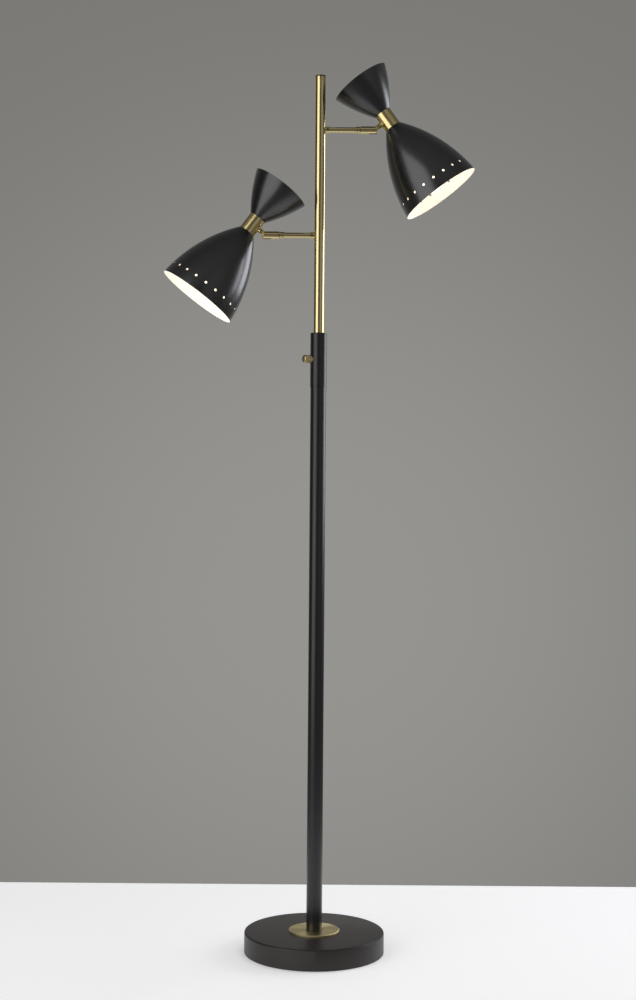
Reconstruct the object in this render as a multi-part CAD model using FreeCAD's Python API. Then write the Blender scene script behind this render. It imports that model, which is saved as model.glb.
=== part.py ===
import FreeCAD, Part
import collections
import math
import os

os.makedirs("parts", exist_ok=True)

# A free-standing floor lamp: a weighted round base, a black pole that carries a
# thinner brass pole, and two spotlight heads on short swivelling brass arms.
# Sizes are in millimetres and degrees. +Z is up, and the origin is the centre of
# the base on the floor. The lamp's front faces -Y, its right arm points to +X.

# ---------------------------------------------------------------- clearances
thread_clearance = 0.05      # radial, round a screw thread
slip_clearance = 0.1         # radial, round a plug in a tube or a screw in a plain hole
running_clearance = 0.05     # radial, round a shaft or a hinge pin
saddle_clearance = 0.05      # between a piece hollowed to a tube's curve and the tube
moving_gap = 0.3             # between faces that move past each other
swivel_gap = 0.5             # the open line between an arm's ring and its sleeve

# --------------------------------------------------------------------- base
base_diameter = 254.0
base_height = 38.0
cover_wall = 1.2
cover_edge_radius = 3.0
cover_floor_gap = 1.0        # the cover hangs this far above the floor
pad_thickness = 2.5
pad_side_gap = 6.0           # pad edge to cover wall
weight_side_gap = 9.5        # weight to cover wall
weight_slab_thickness = 14.0
weight_recess_diameter = 160.0
weight_chamfer = 2.0
cord_channel_width = 14.0
cord_outlet_height = 12.0    # centre of the lead's outlet in the back of the cover
trim_disc_diameter = 92.0
trim_disc_thickness = 3.0
trim_disc_chamfer = 0.8

# cord outlet bushing
bushing_bore = 7.0
bushing_body_diameter = 11.0
bushing_flange_diameter = 15.0
bushing_flange_thickness = 1.5
bushing_length = 9.0
bushing_barb_height = 0.9    # snap ring behind the cover wall
bushing_barb_length = 2.0
bushing_barb_gap = 0.5

# threaded lamp pipe, its nuts and its washers
pipe_diameter = 9.8
pipe_bore = 7.0
pipe_overrun = 3.0           # bare thread past a nut or a plug
pipe_nut_across_flats = 17.0
pipe_nut_height = 5.0
base_washer_diameter = 32.0
base_washer_thickness = 2.0
lock_washer_diameter = 16.5
lock_washer_thickness = 1.8
lock_washer_split = 2.5

# --------------------------------------------------------------------- pole
lower_tube_diameter = 28.6
lower_tube_wall = 1.5
lower_tube_length = 987.0
tube_plug_length = 18.0
housing_step = 0.7           # the switch housing stands proud of the lower tube
housing_wall = 1.5
housing_length = 96.0
housing_plug_length = 12.0
top_bushing_flange = 2.0
top_bushing_socket = 17.0    # how deep the brass tube stands in the bushing
top_bushing_floor = 5.0
upper_tube_diameter = 19.05
upper_tube_wall = 1.0
upper_tube_rise = 461.5      # brass tube that shows above the bushing
upper_plug_length = 14.0
cap_height = 7.5
cap_edge_radius = 0.8
cap_spigot_length = 8.0

# ------------------------------------------------------------------- switch
switch_headroom = 6.0        # switch body to the brass tube's nipple above it
switch_heading = 210.0       # towards the left and the front
switch_body_width = 16.0
switch_body_height = 24.0
switch_body_tail = 6.0       # behind the pole's axis
switch_body_setback = 4.5    # front of the switch body to the housing's inner wall
switch_body_side_gap = 1.0
switch_neck_diameter = 9.5
switch_neck_overrun = 0.7    # neck past its ring nut
ring_nut_wall = 1.5
ring_nut_thickness = 2.3
spindle_diameter = 6.0
spindle_tail = 1.0           # spindle's inner end, from the pole's axis
spindle_flat_depth = 0.8
knob_diameter = 14.4
knob_length = 14.0
knob_edge_radius = 2.5
knob_end_wall = 3.4          # outer face to the bottom of the spindle hole
knob_counterbore_gap = 0.5
knob_flute_count = 24
knob_flute_radius = 0.75
knob_flute_depth = 0.35

# --------------------------------------------------------------------- arms
left_arm_rise = 178.0        # above the top of the black pole
right_arm_rise = 370.5
ferrule_wall = 0.9
ferrule_length = 8.5
set_screw_diameter = 5.0
set_screw_length = 2.2
set_screw_recess = 0.4       # below the ferrule's surface
set_screw_socket_across_flats = 2.5
set_screw_socket_depth = 1.2
rod_diameter = 10.0
rod_length = 54.5            # pole's surface to the grooved ring
rod_bore = 5.5
rod_thread_diameter = 7.8
arm_nut_across_flats = 11.0
arm_nut_height = 2.5
arm_thread_overrun = 0.6

ring_diameter = 12.2
ring_length = 8.4
ring_groove_offset = 3.4     # ring's inner face to the middle of its groove
ring_groove_width = 1.2
ring_groove_depth = 0.7
ring_chamfer = 0.5
tail_diameter = 6.8          # threaded tail that joins the ring to the rod
tail_length = 10.0
tail_end_gap = 1.0           # tail to the bottom of its hole in the rod
journal_diameter = 8.0
journal_bore = 4.5
stop_groove_inset = 3.5      # journal's end to the middle of the stop groove
stop_groove_width = 2.8
stop_groove_depth = 1.0
stop_rib_angle = 16.0        # the part of the turn left uncut as a stop

sleeve_diameter = 13.8
sleeve_length = 31.1
sleeve_edge_radius = 2.0
sleeve_wire_bore = 5.0
slot_width = 5.0
slot_depth = 15.5
sleeve_web = 1.8             # metal between the journal's hole and the slot
pivot_inset = 6.5            # tilt axis to the sleeve's outer end
pivot_screw_diameter = 4.0
pivot_head_diameter = 6.4
pivot_head_thickness = 1.6
pivot_head_sink = 0.9        # below the sleeve's surface
pivot_front_skin = 1.3       # left uncut at the front, so that no hole shows
screw_slot_width = 0.9
screw_slot_depth = 0.7
stop_screw_diameter = 3.0
stop_screw_tip_diameter = 2.0
stop_screw_sink = 0.4

# -------------------------------------------------------------------- heads
left_tilt = 36.4             # head's axis from hanging straight down, outwards
right_tilt = 35.8
left_swivel = 5.0            # mouth turned towards the front, about the arm
right_swivel = 3.0
left_shade_turn = 4.4        # shade turned about its own axis, outwards at the front
right_shade_turn = 6.3
tongue_reach = 12.35         # tilt axis to the stub's round shoulder
tongue_height = 8.4
stub_shoulder_diameter = 9.2
stub_shoulder_length = 3.4
stub_thread_diameter = 7.8
stub_thread_length = 5.2
collar_diameter = 31.5
collar_bore = 20.0
collar_length = 33.0
collar_chamfer = 0.4
shell_wall = 1.0
neck_radius = 16.5
cone_mouth_radius = 55.5
cone_length = 69.0
cone_bulge = 2.7             # how far the side bows out from a straight line
shade_mouth_radius = 75.6
shade_length = 149.5
shade_bulge = 11.9
hole_count = 21
hole_diameter = 4.5
hole_ring_height = 21.0      # above the shade's mouth
nipple_thread_in_socket = 10.0
socket_neck_radius = 12.0
socket_shoulder_angle = 52.0 # of its sloping shoulder, from level
socket_diameter = 38.0
socket_length = 55.0
socket_cavity_depth = 25.0
bulb_base_diameter = 26.2
bulb_base_wall = 0.6
bulb_base_overrun = 2.0      # metal cap past the socket's mouth
bulb_contact_radius = 5.0
bulb_contact_rise = 3.7
bulb_neck_step = 0.1         # the glass's neck stands in from the metal cap's side
bulb_radius = 30.0
bulb_glass_length = 83.0
glass_wall = 0.8

# ------------------------------------------------- places that follow from them
base_radius = base_diameter / 2
cover_inner_radius = base_radius - cover_wall
weight_top = base_height - cover_wall
slab_underside = weight_top - weight_slab_thickness
pole_foot = base_height + trim_disc_thickness
pole_joint = pole_foot + lower_tube_length
housing_top = pole_joint + housing_length
black_pole_top = housing_top + top_bushing_flange
upper_tube_foot = black_pole_top - top_bushing_socket
upper_tube_top = black_pole_top + upper_tube_rise
bushing_underside = upper_tube_foot - top_bushing_floor
upper_nut_foot = bushing_underside - pipe_nut_height
upper_nipple_foot = upper_nut_foot - pipe_overrun
switch_height = upper_nipple_foot - switch_headroom - switch_body_height / 2
ring_nut_diameter = switch_neck_diameter + 2 * ring_nut_wall
pipe_radius = pipe_diameter / 2
threaded_hole_radius = pipe_radius + thread_clearance
lower_tube_bore_radius = lower_tube_diameter / 2 - lower_tube_wall
housing_diameter = lower_tube_diameter + 2 * housing_step
housing_bore_radius = housing_diameter / 2 - housing_wall
pole_radius = upper_tube_diameter / 2
pole_bore_radius = pole_radius - upper_tube_wall
ferrule_diameter = rod_diameter + 2 * (slip_clearance + ferrule_wall)
ring_start = pole_radius + rod_length
journal_start = ring_start + ring_length
sleeve_start = journal_start + swivel_gap
sleeve_end = sleeve_start + sleeve_length
slot_start = sleeve_end - slot_depth
journal_end = slot_start - sleeve_web - moving_gap
stop_groove_middle = journal_end - stop_groove_inset
pivot_reach = sleeve_end - pivot_inset
collar_radius = collar_diameter / 2
collar_half = collar_length / 2
stub_reach = tongue_reach + stub_shoulder_length + collar_radius
socket_mouth = shell_wall + socket_length
socket_cavity_radius = bulb_base_diameter / 2 + moving_gap
bulb_neck_radius = bulb_base_diameter / 2 - bulb_neck_step

ORIGIN = FreeCAD.Vector(0, 0, 0)
X_AXIS = FreeCAD.Vector(1, 0, 0)
Y_AXIS = FreeCAD.Vector(0, 1, 0)
Z_AXIS = FreeCAD.Vector(0, 0, 1)


# ------------------------------------------------------------- shape helpers
def point(x=0.0, y=0.0, z=0.0):
    return FreeCAD.Vector(x, y, z)


def bar(radius, start, end, axis=Z_AXIS):
    """A round bar on an axis through the origin, between two places along it."""
    return Part.makeCylinder(radius, end - start, axis * start, axis)


def pipe(outer_radius, inner_radius, start, end, axis=Z_AXIS):
    return bar(outer_radius, start, end, axis).cut(bar(inner_radius, start, end, axis))


def block(low, high):
    """A box between two opposite corners."""
    size = high - low
    return Part.makeBox(size.x, size.y, size.z, low)


def turned(outline):
    """A solid of revolution about Z, from straight corners given as (radius, height)."""
    corners = [point(radius, 0, height) for radius, height in outline]
    wire = Part.makePolygon(corners + corners[:1])
    return Part.Face(wire).revolve(ORIGIN, Z_AXIS, 360)


def hexagon(across_flats, start, end, axis=Z_AXIS):
    """A hexagonal bar on an axis through the origin."""
    corner_radius = across_flats / math.sqrt(3)
    across = Y_AXIS if axis == X_AXIS else X_AXIS
    up = axis.cross(across)
    corners = []
    for index in range(6):
        angle = math.radians(60 * index)
        offset = across * (corner_radius * math.cos(angle)) + up * (corner_radius * math.sin(angle))
        corners.append(axis * start + offset)
    return Part.Face(Part.makePolygon(corners + corners[:1])).extrude(axis * (end - start))


def hex_nut(across_flats, bore_radius, start, end, axis=Z_AXIS):
    return hexagon(across_flats, start, end, axis).cut(bar(bore_radius, start, end, axis))


def laid_on_x(shape):
    """Turn a shape made about Z so that its axis is X."""
    shape.rotate(ORIGIN, Y_AXIS, 90)
    return shape


def save(name, *shapes):
    solids = [solid for shape in shapes for solid in shape.Solids]
    piece = solids[0] if len(solids) == 1 else Part.makeCompound(solids)
    piece.exportStep("parts/" + name + ".step")


# --------------------------------------------------------------------- base
def base_pad():
    pad_radius = cover_inner_radius - pad_side_gap
    return bar(pad_radius, 0, pad_thickness)


def base_weight():
    """Cast disc, recessed below for the nut and channelled at the back for the lead."""
    radius = cover_inner_radius - weight_side_gap
    recess_radius = weight_recess_diameter / 2
    disc = turned([
        (pipe_radius + slip_clearance, weight_top),
        (radius - weight_chamfer, weight_top),
        (radius, weight_top - weight_chamfer),
        (radius, pad_thickness),
        (recess_radius, pad_thickness),
        (recess_radius, slab_underside),
        (pipe_radius + slip_clearance, slab_underside),
    ])
    half_width = cord_channel_width / 2
    channel_top = cord_outlet_height + half_width
    channel = block(point(-half_width, 0, 0), point(half_width, base_radius, channel_top))
    inside_recess = bar(recess_radius, 0, base_height)
    return disc.cut(channel.cut(inside_recess))


def base_cover():
    """Spun shell: flat top, rounded edge, straight side."""
    edge_height = base_height - cover_edge_radius
    edge_start = base_radius - cover_edge_radius
    hole_radius = pipe_radius + slip_clearance
    diagonal = math.sqrt(0.5)
    inner_edge_radius = cover_edge_radius - cover_wall

    def on_edge(radius, across, up):
        return point(edge_start + radius * across, 0, edge_height + radius * up)

    outer_edge = Part.Arc(on_edge(cover_edge_radius, 1, 0),
                          on_edge(cover_edge_radius, diagonal, diagonal),
                          on_edge(cover_edge_radius, 0, 1)).toShape()
    inner_edge = Part.Arc(on_edge(inner_edge_radius, 0, 1),
                          on_edge(inner_edge_radius, diagonal, diagonal),
                          on_edge(inner_edge_radius, 1, 0)).toShape()
    outer_top = Part.makeLine(on_edge(cover_edge_radius, 0, 1), point(hole_radius, 0, base_height))
    hole = Part.makeLine(point(hole_radius, 0, base_height), point(hole_radius, 0, weight_top))
    inner_top = Part.makeLine(point(hole_radius, 0, weight_top), on_edge(inner_edge_radius, 0, 1))
    inner_side = Part.makeLine(on_edge(inner_edge_radius, 1, 0),
                               point(cover_inner_radius, 0, cover_floor_gap))
    lip = Part.makeLine(point(cover_inner_radius, 0, cover_floor_gap),
                        point(base_radius, 0, cover_floor_gap))
    outer_side = Part.makeLine(point(base_radius, 0, cover_floor_gap),
                               on_edge(cover_edge_radius, 1, 0))
    wire = Part.Wire([outer_edge, outer_top, hole, inner_top, inner_edge, inner_side, lip, outer_side])
    shell = Part.Face(wire).revolve(ORIGIN, Z_AXIS, 360)
    outlet = bar(bushing_body_diameter / 2 + slip_clearance, 0, base_diameter, Y_AXIS)
    outlet.translate(point(z=cord_outlet_height))
    return shell.cut(outlet)


def cord_outlet_bushing():
    """Flanged bushing for the lead, with a snap ring behind the cover's wall."""
    flange_face = base_radius + bushing_flange_thickness
    body_radius = bushing_body_diameter / 2
    barb_radius = body_radius + bushing_barb_height
    barb_face = cover_inner_radius - bushing_barb_gap
    flange = bar(bushing_flange_diameter / 2, base_radius, flange_face, Y_AXIS)
    body = bar(body_radius, flange_face - bushing_length, flange_face, Y_AXIS)
    barb = bar(barb_radius, barb_face - bushing_barb_length, barb_face, Y_AXIS)
    solid = flange.fuse([body, barb]).removeSplitter()
    solid = solid.cut(bar(bushing_bore / 2, 0, base_diameter, Y_AXIS))
    solid.translate(point(z=cord_outlet_height))
    return solid


def base_trim_disc():
    radius = trim_disc_diameter / 2
    return turned([
        (pipe_radius + slip_clearance, base_height),
        (radius, base_height),
        (radius, pole_foot - trim_disc_chamfer),
        (radius - trim_disc_chamfer, pole_foot),
        (pipe_radius + slip_clearance, pole_foot),
    ])


def lock_washer(low, high):
    ring = pipe(lock_washer_diameter / 2, pipe_radius + slip_clearance, low, high)
    half_split = lock_washer_split / 2
    split = block(point(0, -half_split, low), point(lock_washer_diameter, half_split, high))
    return ring.cut(split)


def save_base():
    washer_foot = slab_underside - base_washer_thickness
    lock_foot = washer_foot - lock_washer_thickness
    nut_foot = lock_foot - pipe_nut_height
    pipe_foot = nut_foot - pipe_overrun
    pipe_top = pole_foot + tube_plug_length + pipe_overrun
    washer_hole = pipe_radius + slip_clearance
    save("base_pad", base_pad())
    save("base_weight", base_weight())
    save("base_cover", base_cover())
    save("cord_outlet_bushing", cord_outlet_bushing())
    save("base_trim_disc", base_trim_disc())
    save("base_pipe", pipe(pipe_radius, pipe_bore / 2, pipe_foot, pipe_top))
    save("base_washer", pipe(base_washer_diameter / 2, washer_hole, washer_foot, slab_underside))
    save("base_lock_washer", lock_washer(lock_foot, washer_foot))
    save("base_nut", hex_nut(pipe_nut_across_flats, threaded_hole_radius, nut_foot, lock_foot))


# --------------------------------------------------------------------- pole
def upper_tube():
    """Brass tube with a hole on each side for the threaded end of an arm."""
    tube = pipe(pole_radius, pole_bore_radius, upper_tube_foot, upper_tube_top)
    hole_radius = rod_thread_diameter / 2 + slip_clearance
    for side in SIDES:
        hole = bar(hole_radius, 0, upper_tube_diameter, X_AXIS)
        hole.rotate(ORIGIN, Z_AXIS, side.heading)
        hole.translate(point(z=side.height))
        tube = tube.cut(hole)
    return tube


def housing_top_bushing():
    """Black end bushing: a flange on the housing and a socket for the brass tube."""
    plug_radius = housing_bore_radius - slip_clearance
    socket_radius = pole_radius + slip_clearance
    return turned([
        (threaded_hole_radius, bushing_underside),
        (plug_radius, bushing_underside),
        (plug_radius, housing_top),
        (housing_diameter / 2, housing_top),
        (housing_diameter / 2, black_pole_top),
        (socket_radius, black_pole_top),
        (socket_radius, upper_tube_foot),
        (threaded_hole_radius, upper_tube_foot),
    ])


def top_cap():
    """Flat cap with a softly rounded edge and a spigot inside the tube."""
    head = bar(pole_radius, upper_tube_top, upper_tube_top + cap_height)
    top_edges = [edge for edge in head.Edges if edge.BoundBox.ZMin > upper_tube_top + cap_height / 2]
    head = head.makeFillet(cap_edge_radius, top_edges)
    spigot_radius = pole_bore_radius - slip_clearance
    return head.fuse(bar(spigot_radius, upper_tube_top - cap_spigot_length, upper_tube_top))


def switch_housing():
    tube = pipe(housing_diameter / 2, housing_bore_radius, pole_joint, housing_top)
    hole = bar(switch_neck_diameter / 2 + slip_clearance, 0, housing_diameter, X_AXIS)
    return tube.cut(placed_on_switch_axis(hole))


def save_pole():
    lower_plug_radius = lower_tube_bore_radius - slip_clearance
    housing_plug_radius = housing_bore_radius - slip_clearance
    upper_plug_radius = pole_bore_radius - slip_clearance
    pole_nut_foot = pole_joint + housing_plug_length
    pole_nut_top = pole_nut_foot + pipe_nut_height
    save("lower_tube", pipe(lower_tube_diameter / 2, lower_tube_bore_radius, pole_foot, pole_joint))
    save("lower_tube_bottom_plug",
         pipe(lower_plug_radius, threaded_hole_radius, pole_foot, pole_foot + tube_plug_length))
    save("lower_tube_top_plug",
         pipe(lower_plug_radius, threaded_hole_radius, pole_joint - tube_plug_length, pole_joint))
    save("pole_joint_nipple",
         pipe(pipe_radius, pipe_bore / 2, pole_joint - tube_plug_length, pole_nut_top + pipe_overrun))
    save("pole_joint_nut",
         hex_nut(pipe_nut_across_flats, threaded_hole_radius, pole_nut_foot, pole_nut_top))
    save("switch_housing", switch_housing())
    save("switch_housing_plug",
         pipe(housing_plug_radius, threaded_hole_radius, pole_joint, pole_nut_foot))
    save("housing_top_bushing", housing_top_bushing())
    save("upper_tube", upper_tube())
    save("upper_tube_plug",
         pipe(upper_plug_radius, threaded_hole_radius, upper_tube_foot,
              upper_tube_foot + upper_plug_length))
    save("upper_tube_nipple",
         pipe(pipe_radius, pipe_bore / 2, upper_nipple_foot, upper_tube_foot + upper_plug_length))
    save("upper_tube_nut",
         hex_nut(pipe_nut_across_flats, threaded_hole_radius, upper_nut_foot, bushing_underside))
    save("top_cap", top_cap())


# ------------------------------------------------------------------- switch
# The switch is made along +X from the pole's axis, then turned to its heading.
ring_nut_face = housing_diameter / 2 + ring_nut_thickness
neck_end = ring_nut_face + switch_neck_overrun
knob_start = ring_nut_face + moving_gap
knob_end = knob_start + knob_length
spindle_end = knob_end - knob_end_wall


def placed_on_switch_axis(shape):
    shape.rotate(ORIGIN, Z_AXIS, switch_heading)
    shape.translate(point(z=switch_height))
    return shape


def switch_body():
    """Rotary switch that fills the tube, with a threaded neck through its wall."""
    front = housing_bore_radius - switch_body_setback
    half_width = switch_body_width / 2
    half_height = switch_body_height / 2
    case = block(point(-switch_body_tail, -half_width, -half_height),
                 point(front, half_width, half_height))
    case = case.common(bar(housing_bore_radius - switch_body_side_gap, -half_height, half_height))
    neck = bar(switch_neck_diameter / 2, 0, neck_end, X_AXIS)
    bore = bar(spindle_diameter / 2 + running_clearance, spindle_tail - moving_gap, neck_end, X_AXIS)
    return case.fuse(neck).cut(bore)


def switch_ring_nut():
    """Round nut whose inner face is hollowed to lie on the tube."""
    ring = pipe(ring_nut_diameter / 2, switch_neck_diameter / 2 + thread_clearance, 0, ring_nut_face,
                X_AXIS)
    tube = bar(housing_diameter / 2 + saddle_clearance, -ring_nut_diameter, ring_nut_diameter)
    return ring.cut(tube)


def spindle_shape(radius, start, end, flat_height):
    """A round bar with a flat along its outer half, as in a D-shaped hole."""
    flat_start = knob_start + knob_counterbore_gap
    flat = block(point(flat_start, -radius, flat_height), point(end, radius, 2 * radius))
    return bar(radius, start, end, X_AXIS).cut(flat)


def switch_spindle():
    radius = spindle_diameter / 2
    return spindle_shape(radius, spindle_tail, spindle_end, radius - spindle_flat_depth)


def switch_knob():
    """Fluted knob with a domed outer edge, bored for the spindle."""
    radius = knob_diameter / 2
    grip = bar(radius, knob_start, knob_end, X_AXIS)
    outer_edges = [edge for edge in grip.Edges if edge.BoundBox.XMin > knob_end - knob_edge_radius]
    grip = grip.makeFillet(knob_edge_radius, outer_edges)
    flute_axis_radius = radius + knob_flute_radius - knob_flute_depth
    flutes = []
    for index in range(knob_flute_count):
        flute = bar(knob_flute_radius, knob_start, knob_end, X_AXIS)
        flute.translate(point(y=flute_axis_radius))
        flute.rotate(ORIGIN, X_AXIS, 360 / knob_flute_count * index)
        flutes.append(flute)
    counterbore_end = neck_end + knob_counterbore_gap
    counterbore = bar(switch_neck_diameter / 2 + knob_counterbore_gap, knob_start, counterbore_end,
                      X_AXIS)
    hole_radius = spindle_diameter / 2 + thread_clearance
    hole_flat = spindle_diameter / 2 - spindle_flat_depth + thread_clearance
    spindle_hole = spindle_shape(hole_radius, knob_start, spindle_end + slip_clearance, hole_flat)
    return grip.cut(flutes).cut(counterbore).cut(spindle_hole)


def save_switch():
    save("switch_body", placed_on_switch_axis(switch_body()))
    save("switch_ring_nut", placed_on_switch_axis(switch_ring_nut()))
    save("switch_spindle", placed_on_switch_axis(switch_spindle()))
    save("switch_knob", placed_on_switch_axis(switch_knob()))


# --------------------------------------------------------------------- arms
# Both arms are the same. Each is made along +X from the pole's axis, at height
# zero, and then turned to its heading and lifted. "front" is the way along Y that
# ends up facing the front of the lamp.
Side = collections.namedtuple("Side", "name heading height front tilt swivel shade_turn")
SIDES = [
    Side("left", 180, black_pole_top + left_arm_rise, 1, left_tilt, left_swivel, left_shade_turn),
    Side("right", 0, black_pole_top + right_arm_rise, -1, right_tilt, right_swivel,
         right_shade_turn),
]


def placed_on_arm(shape, side):
    shape.rotate(ORIGIN, Z_AXIS, side.heading)
    shape.translate(point(z=side.height))
    return shape


def placed_on_swivel(shape, side):
    """Turn a piece about the arm, so that the head's mouth faces the front a little."""
    shape.rotate(ORIGIN, X_AXIS, side.front * side.swivel)
    return placed_on_arm(shape, side)


def placed_on_head(shape, side):
    """Tilt a piece of the head about the pivot, from the head's own frame."""
    shape.rotate(ORIGIN, Y_AXIS, -side.tilt)
    shape.translate(point(x=pivot_reach))
    return placed_on_swivel(shape, side)


def arm_rod():
    """Hollow rod, hollowed at the pole to its curve, with a threaded end inside it."""
    nut_face = arm_nut_outer_face()
    rod = bar(rod_diameter / 2, 0, ring_start, X_AXIS)
    rod = rod.cut(bar(pole_radius + saddle_clearance, -rod_diameter, rod_diameter))
    thread_start = nut_face - arm_nut_height - arm_thread_overrun
    thread = bar(rod_thread_diameter / 2, thread_start, pole_radius + rod_diameter / 2, X_AXIS)
    counterbore = bar(tail_diameter / 2 + thread_clearance, ring_start - tail_length - tail_end_gap,
                      ring_start, X_AXIS)
    wire_bore = bar(rod_bore / 2, thread_start, ring_start, X_AXIS)
    return rod.fuse(thread).cut(counterbore).cut(wire_bore)


def arm_nut_outer_face():
    """How far out the nut can sit before its corners meet the tube's inner wall."""
    corner_radius = arm_nut_across_flats / math.sqrt(3)
    return math.sqrt(pole_bore_radius ** 2 - corner_radius ** 2) - slip_clearance


def arm_lock_nut():
    face = arm_nut_outer_face()
    return hex_nut(arm_nut_across_flats, rod_thread_diameter / 2 + thread_clearance,
                   face - arm_nut_height, face, X_AXIS)


def set_screw_axis(shape, front):
    """Lay a piece made along +Y in the ferrule's screw hole, facing the front."""
    if front < 0:
        shape.rotate(ORIGIN, Z_AXIS, 180)
    shape.translate(point(x=pole_radius + ferrule_length / 2))
    return shape


def arm_ferrule(front):
    """Short ferrule over the rod, hollowed to lie on the pole."""
    ring = pipe(ferrule_diameter / 2, rod_diameter / 2 + slip_clearance, 0,
                pole_radius + ferrule_length, X_AXIS)
    ring = ring.cut(bar(pole_radius + saddle_clearance, -ferrule_diameter, ferrule_diameter))
    hole = bar(set_screw_diameter / 2 + thread_clearance, 0, ferrule_diameter, Y_AXIS)
    return ring.cut(set_screw_axis(hole, front))


def arm_set_screw(front):
    """Set screw with a hexagon socket, seated in a flat of its own on the rod."""
    outer = ferrule_diameter / 2 - set_screw_recess
    screw = bar(set_screw_diameter / 2, outer - set_screw_length, outer, Y_AXIS)
    socket = hexagon(set_screw_socket_across_flats, outer - set_screw_socket_depth, outer, Y_AXIS)
    return set_screw_axis(screw.cut(socket), front)


def set_screw_seat(front):
    """The spot-faced seat in the rod that the set screw stands in."""
    inner = ferrule_diameter / 2 - set_screw_recess - set_screw_length
    seat = bar(set_screw_diameter / 2 + thread_clearance, inner, ferrule_diameter, Y_AXIS)
    return set_screw_axis(seat, front)


def swivel_spigot(front):
    """Grooved ring with a threaded tail in the rod and a journal in the sleeve."""
    tail = bar(tail_diameter / 2, ring_start - tail_length, journal_start, X_AXIS)
    radius = ring_diameter / 2
    groove_low = ring_groove_offset - ring_groove_width / 2
    groove_high = ring_groove_offset + ring_groove_width / 2
    ring = laid_on_x(turned([
        (0, 0),
        (radius - ring_chamfer, 0),
        (radius, ring_chamfer),
        (radius, groove_low),
        (radius - ring_groove_depth, groove_low),
        (radius - ring_groove_depth, groove_high),
        (radius, groove_high),
        (radius, ring_length - ring_chamfer),
        (radius - ring_chamfer, ring_length),
        (0, ring_length),
    ]))
    ring.translate(point(x=ring_start))
    journal = bar(journal_diameter / 2, journal_start, journal_end, X_AXIS)
    spigot = tail.fuse([ring, journal]).removeSplitter()
    spigot = spigot.cut(bar(journal_bore / 2, ring_start - tail_length, journal_end, X_AXIS))
    return spigot.cut(stop_groove(front))


def stop_groove(front):
    """Nearly a full turn, with a rib left at the front as the swivel's stop."""
    outer = journal_diameter / 2
    inner = outer - stop_groove_depth
    low = stop_groove_middle - stop_groove_width / 2
    high = stop_groove_middle + stop_groove_width / 2
    ring = pipe(outer + thread_clearance, inner, low, high, X_AXIS)
    half_rib = math.radians(stop_rib_angle / 2)
    rib_front = outer + thread_clearance
    rib_side = rib_front * math.tan(half_rib)
    wedge_corners = [
        point(low, 0, 0),
        point(low, front * 2 * rib_front, -2 * rib_side),
        point(low, front * 2 * rib_front, 2 * rib_side),
    ]
    outline = Part.makePolygon(wedge_corners + wedge_corners[:1])
    return ring.cut(Part.Face(outline).extrude(X_AXIS * stop_groove_width))


def swivel_sleeve(front):
    """Sleeve bored for the journal, with an open slot for the head's tongue."""
    sleeve = bar(sleeve_diameter / 2, sleeve_start, sleeve_end, X_AXIS)
    outer_edges = [edge for edge in sleeve.Edges if edge.BoundBox.XMin > sleeve_end - pivot_inset]
    sleeve = sleeve.makeFillet(sleeve_edge_radius, outer_edges)
    half_slot = slot_width / 2
    slot = block(point(slot_start, -half_slot, -sleeve_diameter),
                 point(sleeve_end, half_slot, sleeve_diameter))
    journal_hole = bar(journal_diameter / 2 + running_clearance, sleeve_start,
                       journal_end + moving_gap, X_AXIS)
    wire_hole = bar(sleeve_wire_bore / 2, sleeve_start, slot_start, X_AXIS)
    return sleeve.cut([slot, journal_hole, wire_hole, pivot_hole(front), stop_screw_hole(front)])


def pivot_hole(front):
    """Clear hole and screw-head seat in the back cheek, blind thread in the front one."""
    sleeve_radius = sleeve_diameter / 2
    head_face = sleeve_radius - pivot_head_sink
    through = bar(pivot_screw_diameter / 2 + thread_clearance, pivot_front_skin - sleeve_radius,
                  sleeve_radius, Y_AXIS)
    seat = bar(pivot_head_diameter / 2 + slip_clearance, head_face - pivot_head_thickness,
               sleeve_radius, Y_AXIS)
    return facing_back(through.fuse(seat), front, pivot_reach)


def facing_back(shape, front, reach):
    """Turn a piece made along +Y so that it faces the back, and move it along the arm."""
    if front > 0:
        shape.rotate(ORIGIN, Z_AXIS, 180)
    shape.translate(point(x=reach))
    return shape


def pivot_screw(front):
    sleeve_radius = sleeve_diameter / 2
    head_face = sleeve_radius - pivot_head_sink
    head_seat = head_face - pivot_head_thickness
    shank_end = pivot_front_skin - sleeve_radius + slip_clearance
    shank = bar(pivot_screw_diameter / 2, shank_end, head_seat, Y_AXIS)
    head = bar(pivot_head_diameter / 2, head_seat, head_face, Y_AXIS)
    half_slot = screw_slot_width / 2
    slot = block(point(-pivot_head_diameter, head_face - screw_slot_depth, -half_slot),
                 point(pivot_head_diameter, head_face, half_slot))
    return facing_back(shank.fuse(head).cut(slot), front, pivot_reach)


def stop_screw_hole(front):
    hole = bar(stop_screw_diameter / 2 + thread_clearance, 0, sleeve_diameter, Y_AXIS)
    return facing_back(hole, front, stop_groove_middle)


def stop_screw(front):
    """Screw whose thin tip runs in the journal's groove."""
    bore_radius = journal_diameter / 2 + running_clearance
    face = sleeve_diameter / 2 - stop_screw_sink
    tip_end = journal_diameter / 2 - stop_groove_depth + moving_gap
    shank = bar(stop_screw_diameter / 2, bore_radius + moving_gap, face, Y_AXIS)
    tip = bar(stop_screw_tip_diameter / 2, tip_end, face, Y_AXIS)
    half_slot = screw_slot_width / 2
    slot = block(point(-stop_screw_diameter, face - screw_slot_depth, -half_slot),
                 point(stop_screw_diameter, face, half_slot))
    return facing_back(shank.fuse(tip).cut(slot), front, stop_groove_middle)


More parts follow.
